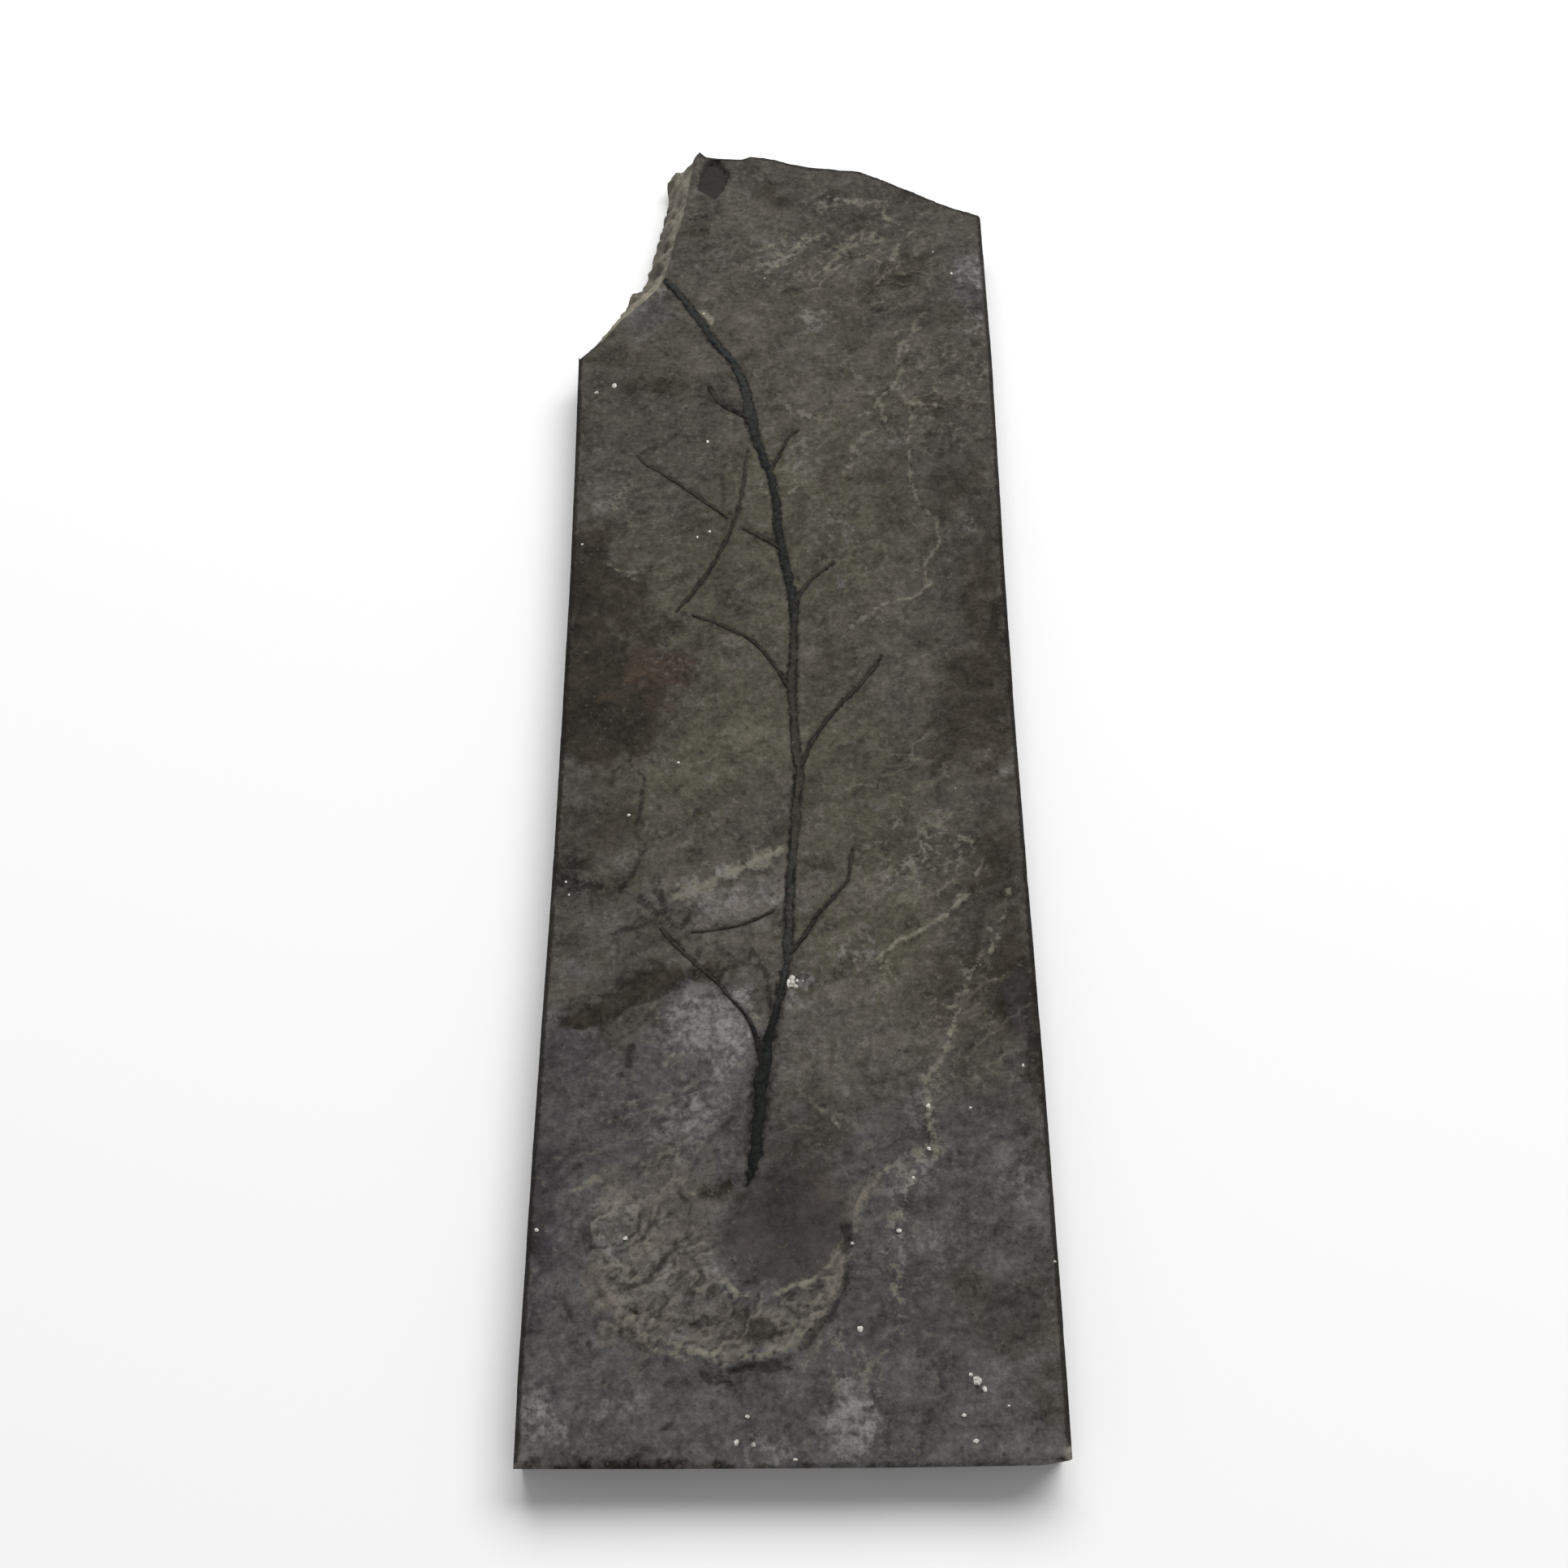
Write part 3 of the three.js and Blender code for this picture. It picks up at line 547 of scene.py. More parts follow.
# Pale broken edges and mineral veins: width, strength, then each point's x,y
VEINS = [
    (0.7, 0.82, 37,80, 37,68, 38,62, 41,58, 44,54, 44.5,49, 43,44, 40,40, 40,36, 41,33, 38,29.5,
     33,28, 28,26.5, 25,25.5),
    (1, 0.68, 40,128, 37.8,116, 35.5,109, 32.5,103.5, 26.3,94.3, 17,91, 7.8,92, 0.2,95.8, -3,99.7),
    (1, 0.7, 29.4,97, 30,92, 29.6,87),
    (0.9, 0.55, 38,116.5, 47.8,118, 54,113),
    (1.1, 0.6, 34,103.5, 37,96.5, 42,96, 48,96),
    (0.8, 0.5, 42,98, 51,99, 56,104),
    (1.1, 1.1, -19,-56, -12,-53.5, -6,-50.5, -2,-48),
    (3.6, 0.82, -27.5,-60, -19.8,-57, -12,-54, -3,-49),
    (2.6, 0.6, -30,-62, -22,-60.5, -14,-57.5, -8,-56),
    (1.5, 1.1, -27.4,133, -25,131.5, -23.4,129, -23.4,127.6),
    (1.4, 0.6, -9,150, -2,155, 6,160, 14,163),
    (1.4, 0.6, 4,148, 10,153, 16,158, 24,164),
    (1.2, 0.55, 12,149, 18,155, 24,159, 31,162),
    (1.2, 0.4, 24,142, 28,149, 30,153),
    (0.9, 0.75, -6,148, 0,153.5, 6.3,159),
    (0.9, 0.65, 10.9,146.6, 16,154, 21.7,162, 26.3,166.6),
    (0.9, 0.6, 29.4,143.5, 32.5,151, 37,159, 41.7,165),
    (2.6, 0.6, 11,173, 18,177, 27.8,176.6, 33,170),
    (0.8, 0.7, -5.3,152.7, 2,158, 10.7,164.7),
    (0.8, 0.7, 8,146, 16,154, 29.3,164.7),
    (0.7, 0.6, -6.7,158, 1.3,163.3),
    (0.8, 0.6, 29.3,143.3, 33,149, 37.3,152.7),
    (0.8, 0.6, 10.7,143.3, 16,150, 21.3,155.3),
    (0.8, 0.5, 40,154, 44,158, 46,163),
    (1, 0.5, 16,138, 22,134, 31,136),
    (1, 0.7, 43,131, 40,128),
    (0.7, 0.7, 37,80, 36.5,86, 38.5,92),
    (1, 0.55, -9,67, -4,71, 1,75),
    (0.9, 0.5, -3,60, 2,66, 8,70),
    (0.8, 0.5, 18,112, 23,106, 27,100),
    (0.8, 0.4, -12,104, -6,98, 2,93, 9,92),
    (1.6, 0.5, 6,131, 13,132, 16,128),
    (1.2, 0.5, 34,112, 36,120, 42,126),
    (1.2, 0.6, 27.8,26.3, 23.2,23.7, 18.6,19.8, 16.6,17),
    (1, 0.5, 17,19.8, 12.5,20.6),
    (1, 0.4, -46,68, -52,62, -50,58),
    (1.2, 0.6, -52,40, -46,37, -40,38, -36,35),
    (0.7, 0.9, 47,-62, 44,-64.6, 41,-68, 36,-70.5, 30,-73.5, 22,-79),
    (0.7, 0.62, 50,-77, 45,-88, 43,-93, 41,-99, 38,-106),
    (1.3, 0.6, 38,-106, 35,-109, 34.5,-117, 34,-125, 33,-128, 30,-136, 27,-140, 26,-148),
    (0.7, 0.6, 43,-93, 38,-90, 34,-91),
    (0.7, 0.6, 44,-90, 39,-84, 36,-82),
    (0.6, 0.5, 42,-95, 36,-95, 33,-97),
    (0.6, 0.5, 46,-86, 44,-80, 41,-77),
    (0.7, 0.6, 16,-32, 20,-29, 25,-31, 31,-34, 35,-31),
    (0.7, 0.65, 31,-36, 36,-41, 37,-47, 40,-50),
    (0.7, 0.65, 38,-41, 44,-44, 49,-47, 51,-52, 50,-56),
    (0.8, 0.6, 17,-50, 22,-48, 27,-44, 30,-40),
    (1, 0.6, 17,-54, 23,-54, 28,-52, 27,-56, 22,-57.5),
    (1, 0.6, 40,-60, 44,-57, 47,-60, 43,-64),
    (0.7, 0.5, 5,-36, 7,-41, 6,-46),
    (0.7, 0.4, 50,-26, 54,-22, 57,-18),
    (1, 0.8, 55,-69, 57,-64, 58,-60),
    (1.1, 0.55, 14,-80, 20,-83, 26,-80, 27,-85, 21,-87),
    (0.7, 0.6, -32,-108, -29,-104, -23,-102),
    (0.7, 0.5, -49,-114, -40,-117, -31,-114),
    (0.8, 0.6, -28,-131, -27,-125, -24,-121, -20,-119),
    (1.1, 0.7, -55,-139, -48,-135, -42,-138, -34,-141, -29,-135, -24,-139),
    (0.8, 0.6, -48,-146, -44,-150, -36,-150, -31,-154),
    (0.8, 0.7, 2,-113, 5,-117, 9,-119, 12,-123),
    (0.9, 0.8, 12,-150, 15,-146, 16,-141, 20,-136, 26,-131),
    (0.7, 0.6, 15,-148, 18,-143, 19,-138),
    (0.9, 0.9, 13.2,-151, 12.4,-157, 9.4,-163, 4.6,-169.4, -1,-174.2, -9,-176.6, -17,-177, -25,-174),
    (0.9, 0.5, 6,-167, 0,-171.5, -6,-174, -14,-174.6),
    (1, 1.2, 12,-151.6, 9,-156, 5,-158.8, 1,-159.4, -3,-162),
    (0.9, 0.7, -3,-162, -8,-163.4, -14,-161, -19,-157),
    (1.2, 0.6, 11.4,-156, 7.5,-162, 2,-167),
    (1, 0.75, -25,-174, -33,-171.6, -40,-167.4, -44,-160, -46.5,-151),
    (0.9, 0.7, -45,-168, -38,-171, -30,-175, -24,-177),
    (1.8, 0.55, -50,-146, -44,-141, -36,-142, -30,-139, -24,-133),
    (1.4, 0.6, -46,-164, -38,-163, -34,-167, -28,-170),
    (1.4, 0.5, -42,-152, -36,-160, -30,-162),
    (1.4, 0.6, -20,-176, -8,-174, 2,-171, 6,-166),
    (0.8, 0.5, -47,36, -42,34, -37,36, -34,34),
    (0.9, 0.5, 9,-170, 6,-174, 2,-179),
    (1.2, 0.3, -19,152, -5,150, 0,155),
    (1.2, 0.5, -4,151, 0,155),
    (1.2, 0.5, 14,149, 18,153),
    (1.5, 0.5, 10,176, 14,179, 20,176, 28,178, 33,177),
    (1.4, 0.4, 34,164, 38,165),
    (1.2, 0.4, 33,122, 36,126),
    (0.9, 0.4, 10,-118, 14,-121, 18,-122),
    (0.8, 0.5, 28,-195, 29,-199),
    (0.8, 0.1, -36,60, -28,50, -18,40),
]
# Chains of pale mineral specks, in the same way
SEAMS = [
    (3, 0.7, 50,-79, 47,-83),
    (2.4, 0.8, 53,-72, 52,-77),
    (1.6, 0.75, 45,-88, 43,-93, 41,-99, 38.6,-104),
    (3.4, 0.85, 35.6,-110, 34.8,-117, 34.8,-125, 35.2,-130),
    (4.2, 0.75, 33,-128, 30,-133, 27,-139, 25.6,-148),
    (4.2, 0.55, 24,-152, 25,-162, 27,-168),
    (6, 0.5, 9,-170, 18,-180, 17,-190),
    (4.5, 0.7, -36,-92, -26,-93, -17,-98, -14,-106),
    (2.6, 0.8, -13,-88, -9,-94, -8,-100),
    (3, 0.55, -8,67, -4,62),
    (3, 0.55, 27,88, 20,80, 17,70),
    (3.6, 0.7, 57,148, 63,140),
    (2.4, 0.5, 60,128, 62,118, 62,108),
    (5, 0.5, -48,-140, -40,-146, -30,-150),
    (7, 0.6, 14,-190, 12,-182),
    (4, 0.6, 10,-74, 16,-78, 24,-82),
    (3, 0.55, 34,-52, 28,-56, 24,-60),
]
# Dark lines, in the same way: cracks, outlines of stains, twigs too faint to have film left, and
# painted shadow at the foot of steps
CRACKS = [
    # Painted shadow along the stepped edge of the left sheet
    (1, 0.6, -47.5,-26.3, -43.4,-22, -40.7,-26.4),
    (0.9, 0.6, -39,-27, -40,-33, -40.7,-44, -38.6,-48, -41.4,-55.5),
    (1.2, 0.68, -41.4,-55.5, -45,-59.5, -50,-59.5, -56.8,-57),
    (1, 0.5, -36.8,132, -30,127, -24,121, -20,116),
    (1, 0.7, -24.8,99.6, -21,97.5),
    (0.9, 0.6, -25.6,96.6, -21.5,97.4),
    (1, 0.65, -35,-56, -33.4,-60, -33,-66, -30,-71),
    (1, 0.6, -40,-62, -36,-66, -32,-70),
    (0.9, 0.5, -30,-74, -26,-79, -21,-84),
    (0.8, 0.4, -20,-30, -26,-40, -31,-47),
    (1.1, 0.7, -20,-84.5, -17,-82, -13,-80.5, -8,-81, -6,-82.5, -5.5,-86, -5,-92),
    (0.9, 0.6, -10.5,-79, -9,-77, -7.6,-79),
    (0.8, 0.6, -23.5,103.6, -23.5,98),
    (0.8, 0.5, -18.9,56.4, -18.9,66, -18.7,75),
    (0.8, 0.5, -14,58, -11,61, -9,64),
    (1.2, 0.5, -44,79, -40,81, -36,83),
    (1, 0.4, -36,83, -32,87),
    (1, 0.4, -49,80, -46,78, -43,72),
    (0.9, 0.35, 10.2,37.7, 17.5,44),
    (0.9, 0.7, -28.9,-70.9, -25.7,-66.4),
    (0.9, 0.6, -23.9,-72.7, -23.5,-79),
    (0.9, 0.6, -34.4,-61.8, -36.5,-56),
    (0.9, 0.5, -31,-66, -34,-61),
    (0.9, 0.5, -33.8,-70.4, -40,-66),
    (0.9, 0.5, -27,23.2, -31,24.6),
    (1.2, 0.6, -45,-59.5, -38,-62, -34,-66, -38,-70, -46,-72),
    (1.2, 0.65, -59,-94, -55,-97, -48,-96, -42,-92, -36,-90, -29,-87, -24,-83, -19,-85),
    (1.1, 0.55, -56,-90, -46,-88, -42,-81, -34,-80, -31,-84),
    (1.1, 0.5, -48,-97, -44,-100, -38,-96, -33,-91),
    (3.4, 0.36, -58,-92.5, -52,-92, -47,-95),
    (4.6, 0.36, -46,-88, -40,-84.5, -34,-86),
    (3, 0.5, -31,-86, -25,-84),
    (2.4, 0.5, -40,-80.5, -35,-79.5),
    (1.4, 0.7, -40,-102, -40.5,-107),
    (1.1, 0.45, -14,-120, -20,-126, -24,-132, -27,-139),
    (1.1, 0.5, -50,-142, -48,-150, -44,-155),
    (1.2, 0.45, -62,-152, -57,-158, -50,-170, -46,-176),
    (1, 0.35, 0,141, 14,130, 24,124),
    (1.2, 0.5, -30,170, -22,174, -14,174),
    (1.2, 0.45, -34,164, -26,166, -18,163),
    # Painted shadow along the outer edge of the raised crescent
    (1.6, 1, 13,-146.4, 13.4,-149.5, 13,-152),
    (1.1, 0.7, 13.5,-156, 12.6,-160.6, 10,-165.6, 7.4,-169, 4.4,-172.4, 0.4,-176, -5,-178.4,
     -10,-179, -19,-179.4),
    (1, 0.9, 0,-178.6, -10,-178.6),
    (1.2, 0.8, -22,-180, -16,-182, -12,-184),
    (0.9, 0.5, -27,-187, -28,-190, -31,-192),
    (1.1, 0.8, -40,-160.5, -34,-158.5, -30,-153.5),
    (1, 0.7, -40,-167, -37,-165, -34,-165.5),
    (1, 0.7, -30,-150, -25,-149),
    (1.2, 0.6, -28,-137, -26.5,-140, -25,-143),
    (1.1, 0.5, 20.4,157, 21.6,153, 21.4,150),
    (1, 0.4, -16,174.5, -22,173.5),
    (1.4, 0.5, 30,133, 33,134.5),
    (1.2, 0.5, 2,142.5, 4,141.2),
    (0.7, 0.25, 40,87, 37,90, 36,94),
]


def stain(cx, cy, rx, ry, strength, turn=0, seed=70):
    """One patch of a stain, with uneven edges."""
    return strength * blot(wx, wy, cx, cy, rx * 1.3, ry * 1.3, turn, 0.5, seed)


def streak(lines, seed):
    """Lines as values that fall off evenly from each line, so that the material can fray them."""
    value = np.zeros(x.shape)
    for width, strength, *numbers in lines:
        gap = off_line(wx, wy, pairs(*numbers))[0] + 0.3 * width * cloud(x, y, 2.4, seed)
        value = np.maximum(value, strength * (1 - gap / (0.55 + 0.9 * width)))
    return np.clip(value, 0, 1)


# Stains and lines wander a little from where they are drawn
wx = x + 0.7 * cloud(x, y, 4, 61)
wy = y + 0.7 * cloud(x, y, 4, 62)
stains = {}
for name, patches in STAINS.items():
    field = np.zeros(x.shape)
    for number, numbers in enumerate(patches):
        field = field + stain(*numbers, seed=70 + number % 5) * (1 - field)
    stains[name] = field
socket_floor = patch(x, y, SOCKET, 0.8, 0.4, 41)[0]
stains["violet"] = np.maximum(stains["violet"], 0.5 * socket_floor)
for name, field in stains.items():
    keep(mesh, name, field)
keep(mesh, "socket", socket_floor)
keep(mesh, "hollow", ramp(-y, 108, 150) * patch(x, y, HOLLOW, 5.0, 2.4, 43)[0])
keep(mesh, "calm", 1 - off_hollow(x, y))
keep(mesh, "vein", streak(VEINS, 81) * (0.85 + 0.3 * cloud(x, y, 5, 82)))
keep(mesh, "seam", streak(SEAMS, 87))

# Cracks are cut into the face. Its edges are painted dark as shade too, but for the near edge and the
# chip
cracks = streak(CRACKS, 83)
z -= CRACK_DEEP * ramp(cracks, 0.3, 0.9)
chip = ramp(-np.hypot(x - 63.6, (y + 197.8) * 0.7), -2.2, -0.9)
painted_edge_shade = np.clip(1.5 - edge_gap / 1.1, 0, 1) * (y > -199) * ~broken
keep(mesh, "crack_and_painted_shade", np.maximum(cracks, painted_edge_shade) * (1 - chip))

# Carbon has soiled the stone beside the plant, the widest near the foot of the stem
fringe = 1.3 + 2.2 * ramp(-y, 84, 104) * ramp(y, -140, -128)
keep(mesh, "carbon", np.maximum(0.62 - gap_plant / 1.6, 0.8 - gap_stem / fringe))

# The lip of each leaf and ledge is painted pale, partly the colour of broken shale and partly a
# painted highlight, and its foot is painted dark as a painted shadow
crescent = patch(x, y, CRESCENT, 2.4, 1.6, 31)[0]
lips, feet = np.zeros(x.shape), np.zeros(x.shape)
leafy = stains["leafy"]
for kind, where in ((leaves, leafy), (small_leaves, 0.9 * leafy), (crags, crescent)):
    lip, base = ledge_lines(kind, x, y, 1.3)
    lips = np.maximum(lips, lip * where)
    feet = np.maximum(feet, base * where)
keep(mesh, "lip", lips)
keep(mesh, "foot", feet)

# Freshly broken shale at the corner and the chip, and slow changes of lightness over the face; the
# near end is made lighter, a painted sheen
cream = ramp(-np.abs(share - 0.2), -0.35, -0.1) * ramp(-np.abs(y - 142), -34, -8)
keep(mesh, "fresh", broken * (0.6 + 0.4 * cloud(x, y, 6, 84) + 0.5 * cream) + chip)
tone = 0.5 + 0.22 * cloud(x, y, 30, 85, 5) + 0.14 * cloud(x * 0.8 + y * 0.5, y * 1.9 - x, 9, 86)
paler = 0.16 * ramp(-np.abs(y + 80), -52, -22) * ramp(-np.abs(x - 4), -48, -30)
# The ramp in y is a painted sheen that lightens the near end
keep(mesh, "tone", tone + 0.14 * ramp(-y, 165, 188) + paler)
keep(mesh, "rim", z, HIGHEST)
mesh.vertices.foreach_set("co", (np.stack([x, y, z], axis=1) * MM).ravel())
mesh.update()

# The square grid is trimmed to the outline, and its rim is drawn down in steps to the flat underside
bpy.ops.object.mode_set(mode="EDIT")
bpy.ops.mesh.select_mode(type="FACE")
bpy.ops.mesh.select_all(action="DESELECT")
bpy.ops.object.mode_set(mode="OBJECT")
mesh.polygons.foreach_set("select", ~inside)
bpy.ops.object.mode_set(mode="EDIT")
bpy.ops.mesh.delete(type="FACE")
bpy.ops.mesh.select_all(action="SELECT")
bpy.ops.mesh.remove_doubles(threshold=0.00002)
bpy.ops.mesh.dissolve_degenerate(threshold=0.00001)
bpy.ops.mesh.select_all(action="DESELECT")
bpy.ops.mesh.select_mode(type="EDGE")
bpy.ops.mesh.select_non_manifold(
    extend=False, use_wire=False, use_multi_face=False, use_non_contiguous=False, use_verts=False)

# Each step down the wall as a share of its height, and how rough the two kinds of wall are in mm
WALL_STEPS = [0.05, 0.18, 0.33, 0.46, 0.62, 0.78, 0.93, 1.0]
SAWN_ROUGH = 0.06
BROKEN_ROUGH = 0.8
SAWN_EDGES = np.vstack([SAWN_SIDES, FOOT[:1]])
for number, down in enumerate(WALL_STEPS):
    bpy.ops.mesh.extrude_edges_move(TRANSFORM_OT_translate={"value": (0, 0, 0)})
    bpy.ops.object.mode_set(mode="OBJECT")
    picked = np.zeros(len(mesh.vertices), bool)
    mesh.vertices.foreach_get("select", picked)
    points = points_of(mesh)
    top = np.empty(len(mesh.vertices), np.float32)
    mesh.attributes["rim"].data.foreach_get("value", top)
    px, py = points[picked, 0] / MM, points[picked, 1] / MM
    level = top[picked] * (1 - down)
    if down < 1:
        level = level + 0.5 * cloud(px, py, 14, 90 + number, 2) * min(1, 4 * (1 - down))
    points[picked, 2] = np.maximum(level, 0) * MM
    sawn = off_line(px, py, SAWN_EDGES)[0] < 0.3
    set_in = np.where(sawn, SAWN_ROUGH, BROKEN_ROUGH) * (0.5 + 0.5 * cloud(px, py, 3, 100 + number))
    if number == 0 or down == 1:
        set_in = set_in * 0
    away = np.stack([px, np.where(np.abs(py) > 160, py, 0)], axis=1)
    away /= np.maximum(np.hypot(*away.T), 1e-6)[:, None]
    points[picked, :2] -= away * set_in[:, None] * MM
    mesh.vertices.foreach_set("co", points.ravel())
    bpy.ops.object.mode_set(mode="EDIT")
bpy.ops.mesh.edge_face_add()
bpy.ops.mesh.select_all(action="SELECT")
bpy.ops.mesh.normals_make_consistent(inside=False)
bpy.ops.object.mode_set(mode="OBJECT")
bpy.ops.object.shade_smooth_by_angle(angle=math.radians(38))


# These add nodes to `tree`, which is the node tree of the material being made
def plug(socket, value):
    """Gives a socket a value, or another node's output."""
    if hasattr(value, "is_output"):
        tree.links.new(value, socket)
    else:
        socket.default_value = value


def plug_named(node, **inputs):
    """The same, for inputs of a node by their names."""
    for name, value in inputs.items():
        plug(node.inputs[name.replace("_", " ")], value)
    return node


def add_node(kind, **inputs):
    """A new node, with its named inputs."""
    return plug_named(tree.nodes.new(kind), **inputs)


def blend(amount, one, other, how="MIX"):
    """Mixes two colours by an amount."""
    new = tree.nodes.new("ShaderNodeMix")
    new.data_type = "RGBA"
    new.blend_type = how
    for index, value in ((0, amount), (6, one), (7, other)):
        plug(new.inputs[index], value)
    return new.outputs[2]


def sums(operation, first, *others):
    """Works through two or more values with one operation."""
    for other in others:
        new = tree.nodes.new("ShaderNodeMath")
        new.operation = operation
        plug(new.inputs[0], first)
        plug(new.inputs[1], other)
        first = new.outputs[0]
    return first


def times(*values):
    """The product of two or more values."""
    return sums("MULTIPLY", *values)


def layer(name):
    """A value stored on the mesh."""
    new = tree.nodes.new("ShaderNodeAttribute")
    new.attribute_name = name
    return new.outputs["Fac"]


def speckle(across, detail=3.0, rough=0.6, long=1.0, turn=0.0):
    """Noise from 0 to 1, its spots `across` mm wide, `long` times as long and turned in degrees."""
    spot = tree.nodes.new("ShaderNodeTexCoord").outputs["Object"]
    if long != 1.0:
        turned = (0, 0, -math.radians(turn))
        spot = add_node("ShaderNodeMapping", Vector=spot, Rotation=turned).outputs[0]
        spot = add_node("ShaderNodeMapping", Vector=spot, Scale=(1 / long, 1, 1)).outputs[0]
    scale = 1 / (across * MM)
    noise = add_node("ShaderNodeTexNoise", Vector=spot, Scale=scale, Detail=detail, Roughness=rough)
    return noise.outputs["Fac"]


def stretch(value, low, high, to_low=0.0, to_high=1.0):
    """Maps a range of a value onto another."""
    return add_node("ShaderNodeMapRange", Value=value, From_Min=low, From_Max=high,
                    To_Min=to_low, To_Max=to_high).outputs[0]


def frayed(value, noise, fray, low, high):
    """A stored value with its edges broken up by noise."""
    swing = times(sums("SUBTRACT", noise, 0.5), fray)
    return stretch(sums("ADD", value, swing), low, high)


def coat(colour, name, noise, fray, low, high, paint, strength=1.0):
    """The colour so far, with a paint over it where a stored value is high; noise frays its edges."""
    amount = times(frayed(layer(name), noise, fray, low, high), strength)
    return blend(amount, colour, paint)


stone, tree, shader = new_material("dark_shale")
GREY = (0.064, 0.0570, 0.0475, 1)
OLIVE = (0.071, 0.0655, 0.0475, 1)
BROWN = (0.033, 0.0272, 0.0200, 1)
BLUE = (0.075, 0.0715, 0.0700, 1)
VIOLET = (0.045, 0.0390, 0.0435, 1)
RUST = (0.053, 0.0380, 0.0270, 1)
DARK = (0.012, 0.0105, 0.0085, 1)
ROCK = (0.094, 0.0835, 0.0730, 1)
BLOOM = (0.148, 0.145, 0.140, 1)
VEIN = (0.215, 0.200, 0.155, 1)
ROCK_EDGE = (0.192, 0.169, 0.143, 1)
BLUE_WHITE = (0.225, 0.222, 0.210, 1)
FRESH = (0.262, 0.240, 0.186, 1)
SOCKET_BROWN = (0.029, 0.0240, 0.0210, 1)
HOLLOW_BROWN = (0.048, 0.0410, 0.0365, 1)
wide = speckle(8.0, 5.0, 0.65)
middle = speckle(4.5, 5.0, 0.65)
small = speckle(2.0, 5.0, 0.65)

# Broad stains, one over the other
colour = coat(GREY, "olive", wide, -1.2, 0.2, 0.9, OLIVE)
colour = coat(colour, "blue", wide, 1.2, 0.1, 0.9, BLUE)
rocky = frayed(layer("rock"), middle, 1.8, 0.2, 0.7)
colour = blend(rocky, colour, ROCK)
brown = sums("ADD", layer("brown"), stretch(small, 0.3, 0.7, -0.3, 0.3))
colour = blend(frayed(brown, middle, -1.7, 0.25, 0.8), colour, BROWN)
colour = blend(times(layer("hollow"), 0.8), colour, HOLLOW_BROWN)
colour = coat(colour, "violet", wide, -1.2, 0.2, 1.0, VIOLET)
colour = coat(colour, "rust", middle, 2.2, 0.3, 1.1, RUST)
# Dark stains, with painted shade along the near edge
colour = coat(colour, "dark", small, 2.6, 0.25, 1.0, DARK)

# Pale bloom, which keeps off the smooth hollows and the stained shale
rough = sums("SUBTRACT", 1.0, times(layer("calm"), 0.6))
stained = sums("MAXIMUM", layer("brown"), layer("dark"))
plain = times(rough, stretch(stained, 0.2, 0.7, 1.0, 0.12))
bloom = frayed(layer("bloom"), small, 3.6, 0.25, 1.15)
colour = blend(times(bloom, plain), colour, BLOOM)

# Uneven lightness: slow changes, which hold the painted sheen at the near end, slanting streaks,
# blotches and fine grain
broad = stretch(layer("tone"), 0.0, 1.0, 0.65, 1.35)
streaks = stretch(speckle(3.5, 5.0, 0.65, 3.0, 33.0), 0.3, 0.7, -0.22, 0.22)
blotches = stretch(wide, 0.3, 0.7, -0.34, 0.34)
fine = stretch(speckle(1.6, 4.0, 0.7), 0.3, 0.7, -0.38, 0.38)
uneven = sums("ADD", streaks, blotches, fine)
shade = times(broad, sums("ADD", 1.0, times(uneven, rough)))
shade = sums("MAXIMUM", shade, 0.25)
shade = add_node("ShaderNodeCombineColor", Red=shade, Green=shade, Blue=shade).outputs[0]
colour = blend(1.0, colour, shade, "MULTIPLY")

# Pale flecks, dark pinholes and thin curling lines, where the noise is near its middle
bluish = stretch(times(layer("bloom"), layer("blue")), 0.1, 0.5)
pale = blend(rocky, blend(bluish, VEIN, BLUE_WHITE), ROCK_EDGE)
fleck_area = stretch(speckle(11.0, 4.0), 0.38, 0.6)
flecks = stretch(small, 0.58, 0.74, 0.0, 0.45)
colour = blend(times(flecks, fleck_area, plain), colour, VEIN)
pinhole_area = stretch(middle, 0.5, 0.62)
pinholes = stretch(speckle(1.9, 3.0), 0.34, 0.42, 0.6, 0.0)
colour = blend(times(pinholes, pinhole_area, rough), colour, DARK)
off_middle = sums("SUBTRACT", speckle(9.0, 3.0, 0.5, 1.6, 30.0), 0.5)
curls = stretch(sums("ABSOLUTE", off_middle, 0.0), 0.0, 0.03, 1.0, 0.0)
curls = times(curls, stretch(layer("leafy"), 0.1, 0.8, 0.0, 0.5))
colour = blend(times(curls, stretch(small, 0.3, 0.55)), colour, pale)

# Painted highlight on the lips of ledges and painted shadow at their feet, then chains of specks,
# veins, the broken corner, the socket, soiling, and cracks with painted shade
colour = coat(colour, "foot", small, 1.4, 0.4, 0.8, DARK, 0.5)
colour = coat(colour, "lip", small, 2.0, 0.45, 0.95, pale, 0.5)
colour = coat(colour, "seam", small, 4.2, 0.5, 1.3, pale, 0.8)
colour = coat(colour, "vein", small, 2.0, 0.27, 0.85, pale, 0.75)
fresh = stretch(speckle(3.0, 6.0, 0.75), 0.35, 0.62, 0.3, 1.1)
colour = blend(times(layer("fresh"), fresh), colour, FRESH)
colour = blend(times(layer("socket"), 0.95), colour, SOCKET_BROWN)
colour = coat(colour, "carbon", small, 2.6, 0.35, 1.0, DARK)
# Cracks darkened, with painted shade along the sawn edges and at the foot of steps
colour = coat(colour, "crack_and_painted_shade", small, 2.0, 0.2, 0.68, DARK, 0.8)

